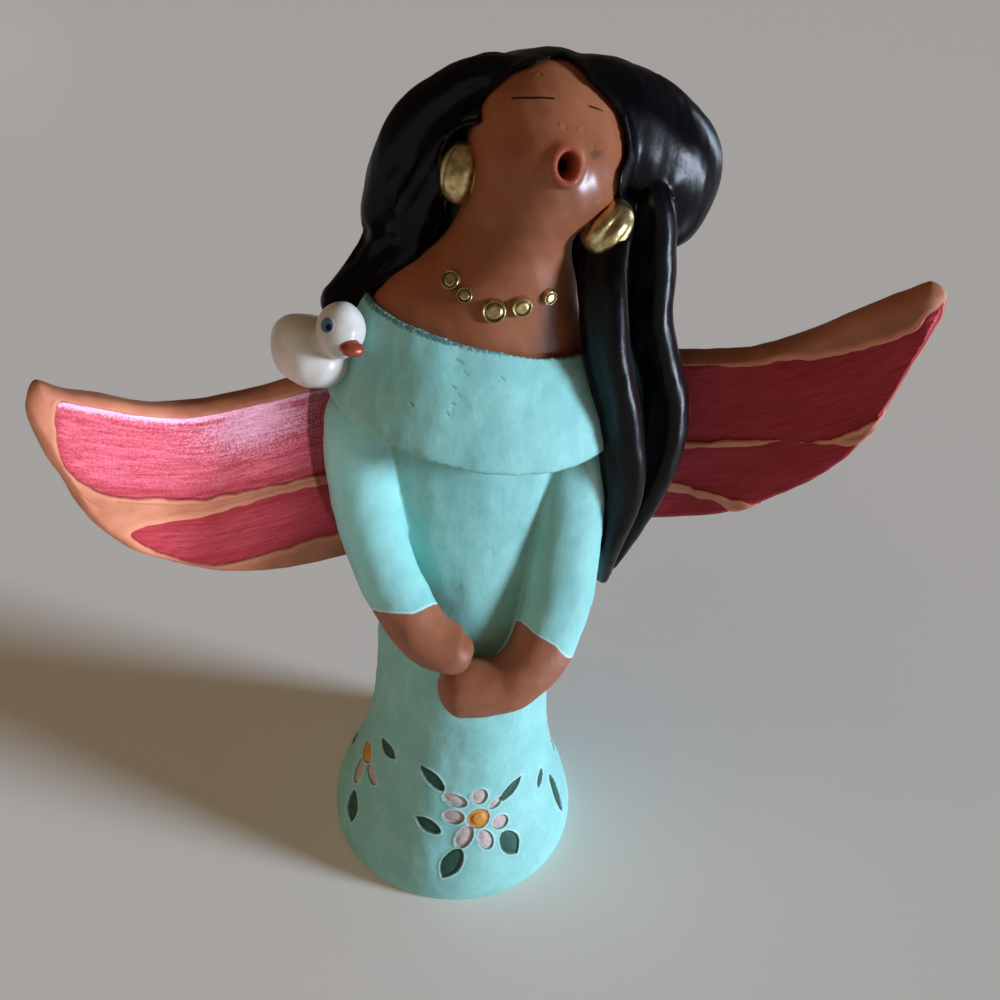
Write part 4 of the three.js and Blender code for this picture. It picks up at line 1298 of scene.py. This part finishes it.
def makeNecklace(material):
    tree, sockets = makeDiscTree()
    places, ways, sizes = [], [], []
    for radius, bearing, climb in zip(necklace["radii"], necklace["bearings"], necklace["climbs"]):
        angle = math.radians(bearing - 90)
        middle = shoulderPoint(climb, angle)
        up, around = shoulderPoint(climb + 0.01, angle) - middle, shoulderPoint(climb, angle + 0.01) - middle
        places.append(middle * 0.001)
        ways.append(unit(np.cross(around, up)))
        sizes.append((radius * 0.001, radius * 0.001, 0.001))
    spots = bpy.data.meshes.new("spots")
    spots.from_pydata([tuple(place) for place in places], [], [])
    storeField(spots, "outWay", ways)
    storeField(spots, "size", sizes)
    inputs = dict(height=necklace["height"], rim=necklace["rim"], paint=material)
    made = grownMesh(spots, tree, sockets, inputs)
    made.name = "necklace"
    piece = addObject("necklace", made)
    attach(piece, "root")
    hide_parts("angel_figurine")
    print("necklace", len(made.polygons), "faces")


makeDress()
makeHead()
makeHair()
wingMaterial = makeWingFinish()
makeWing("left", wingMaterial)
makeWing("right", wingMaterial)
makeDove()
goldMaterial = makeGoldFinish()
makeEarring("left", goldMaterial)
makeEarring("right", goldMaterial)
makeNecklace(goldMaterial)


# floor and light

studio = dict(
    floor=(0.92, 0.88, 0.80), floorSize=3.0, floorRough=0.7, floorGloss=0.1, room=(0.085, 0.062, 0.042),
    lamps=dict(
        # the daylight: broad, and left out of the gloss
        window=dict(kind="SUN", bearing=66, climb=12, away=1.0, aim=(0, 0, 0.13), spread=14, watts=5.2,
                    color=(0.66, 0.79, 1.0), gleams=False),
        # two panels that only make gleams, on the hair and on the chin
        side=dict(kind="AREA", bearing=112, climb=8, away=0.95, aim=(0, 0, 0.13), size=0.12, height=0.35,
                  watts=2.4, color=(0.64, 0.79, 1.0), lights=False),
        low=dict(kind="AREA", bearing=55, climb=-15, away=0.5, aim=(0, 0, 0.15), size=0.12, height=0.12,
                 watts=2.8, color=(0.70, 0.81, 1.0), lights=False),
        # a warm fill from the other side
        fill=dict(kind="SUN", bearing=-62, climb=38, away=1.0, aim=(0, 0, 0.13), spread=60, watts=0.5,
                  color=(1.0, 0.76, 0.52), gleams=False),
        # a patch of sun on the left wing
        wingLamp=dict(kind="SPOT", bearing=14, climb=4, away=0.9, aim=(-0.085, 0, 0.125), size=0.02,
                      watts=38.0, color=(0.86, 0.88, 1.0), cone=5.73, soft=0.15),
    ),
)


def makeFloor():
    reach = studio["floorSize"] / 2
    mesh = bpy.data.meshes.new("floor")
    corners = [(x * reach, y * reach, 0) for x, y in ((-1, -1), (1, -1), (1, 1), (-1, 1))]
    mesh.from_pydata(corners, [], [(0, 1, 2, 3)])
    pale = Finish("paleFloor")
    pale.feed(baseColor=(*studio["floor"], 1), roughness=studio["floorRough"], gloss=studio["floorGloss"])
    mesh.materials.append(pale.material)
    addObject("floor", mesh)


def makeLamp(name, lamp):
    data = bpy.data.lights.new(name, lamp["kind"])
    if lamp["kind"] == "AREA":
        data.shape = "RECTANGLE"
        data.size, data.size_y = lamp["size"], lamp["height"]
    elif lamp["kind"] == "SUN":
        data.angle = math.radians(lamp["spread"])
    else:
        data.shadow_soft_size = lamp["size"]
        data.spot_size = math.radians(lamp["cone"])
        data.spot_blend = lamp["soft"]
    data.energy = lamp["watts"]
    data.color = lamp["color"]
    light = addObject(name, data)
    light.visible_glossy = lamp.get("gleams", True)
    light.visible_diffuse = lamp.get("lights", True)
    bearing, climb = math.radians(lamp["bearing"]), math.radians(lamp["climb"])
    way = Vector((math.sin(bearing) * math.cos(climb), -math.cos(bearing) * math.cos(climb), math.sin(climb)))
    light.location = Vector(lamp["aim"]) + way * lamp["away"]
    light.rotation_euler = way.to_track_quat("Z", "Y").to_euler()


makeFloor()
for name, lamp in studio["lamps"].items():
    makeLamp(name, lamp)
world = bpy.data.worlds.new("room")
scene.world = world
world.use_nodes = True
background = world.node_tree.nodes["Background"]
background.inputs["Color"].default_value = (*studio["room"], 1)
print("lights and floor placed")
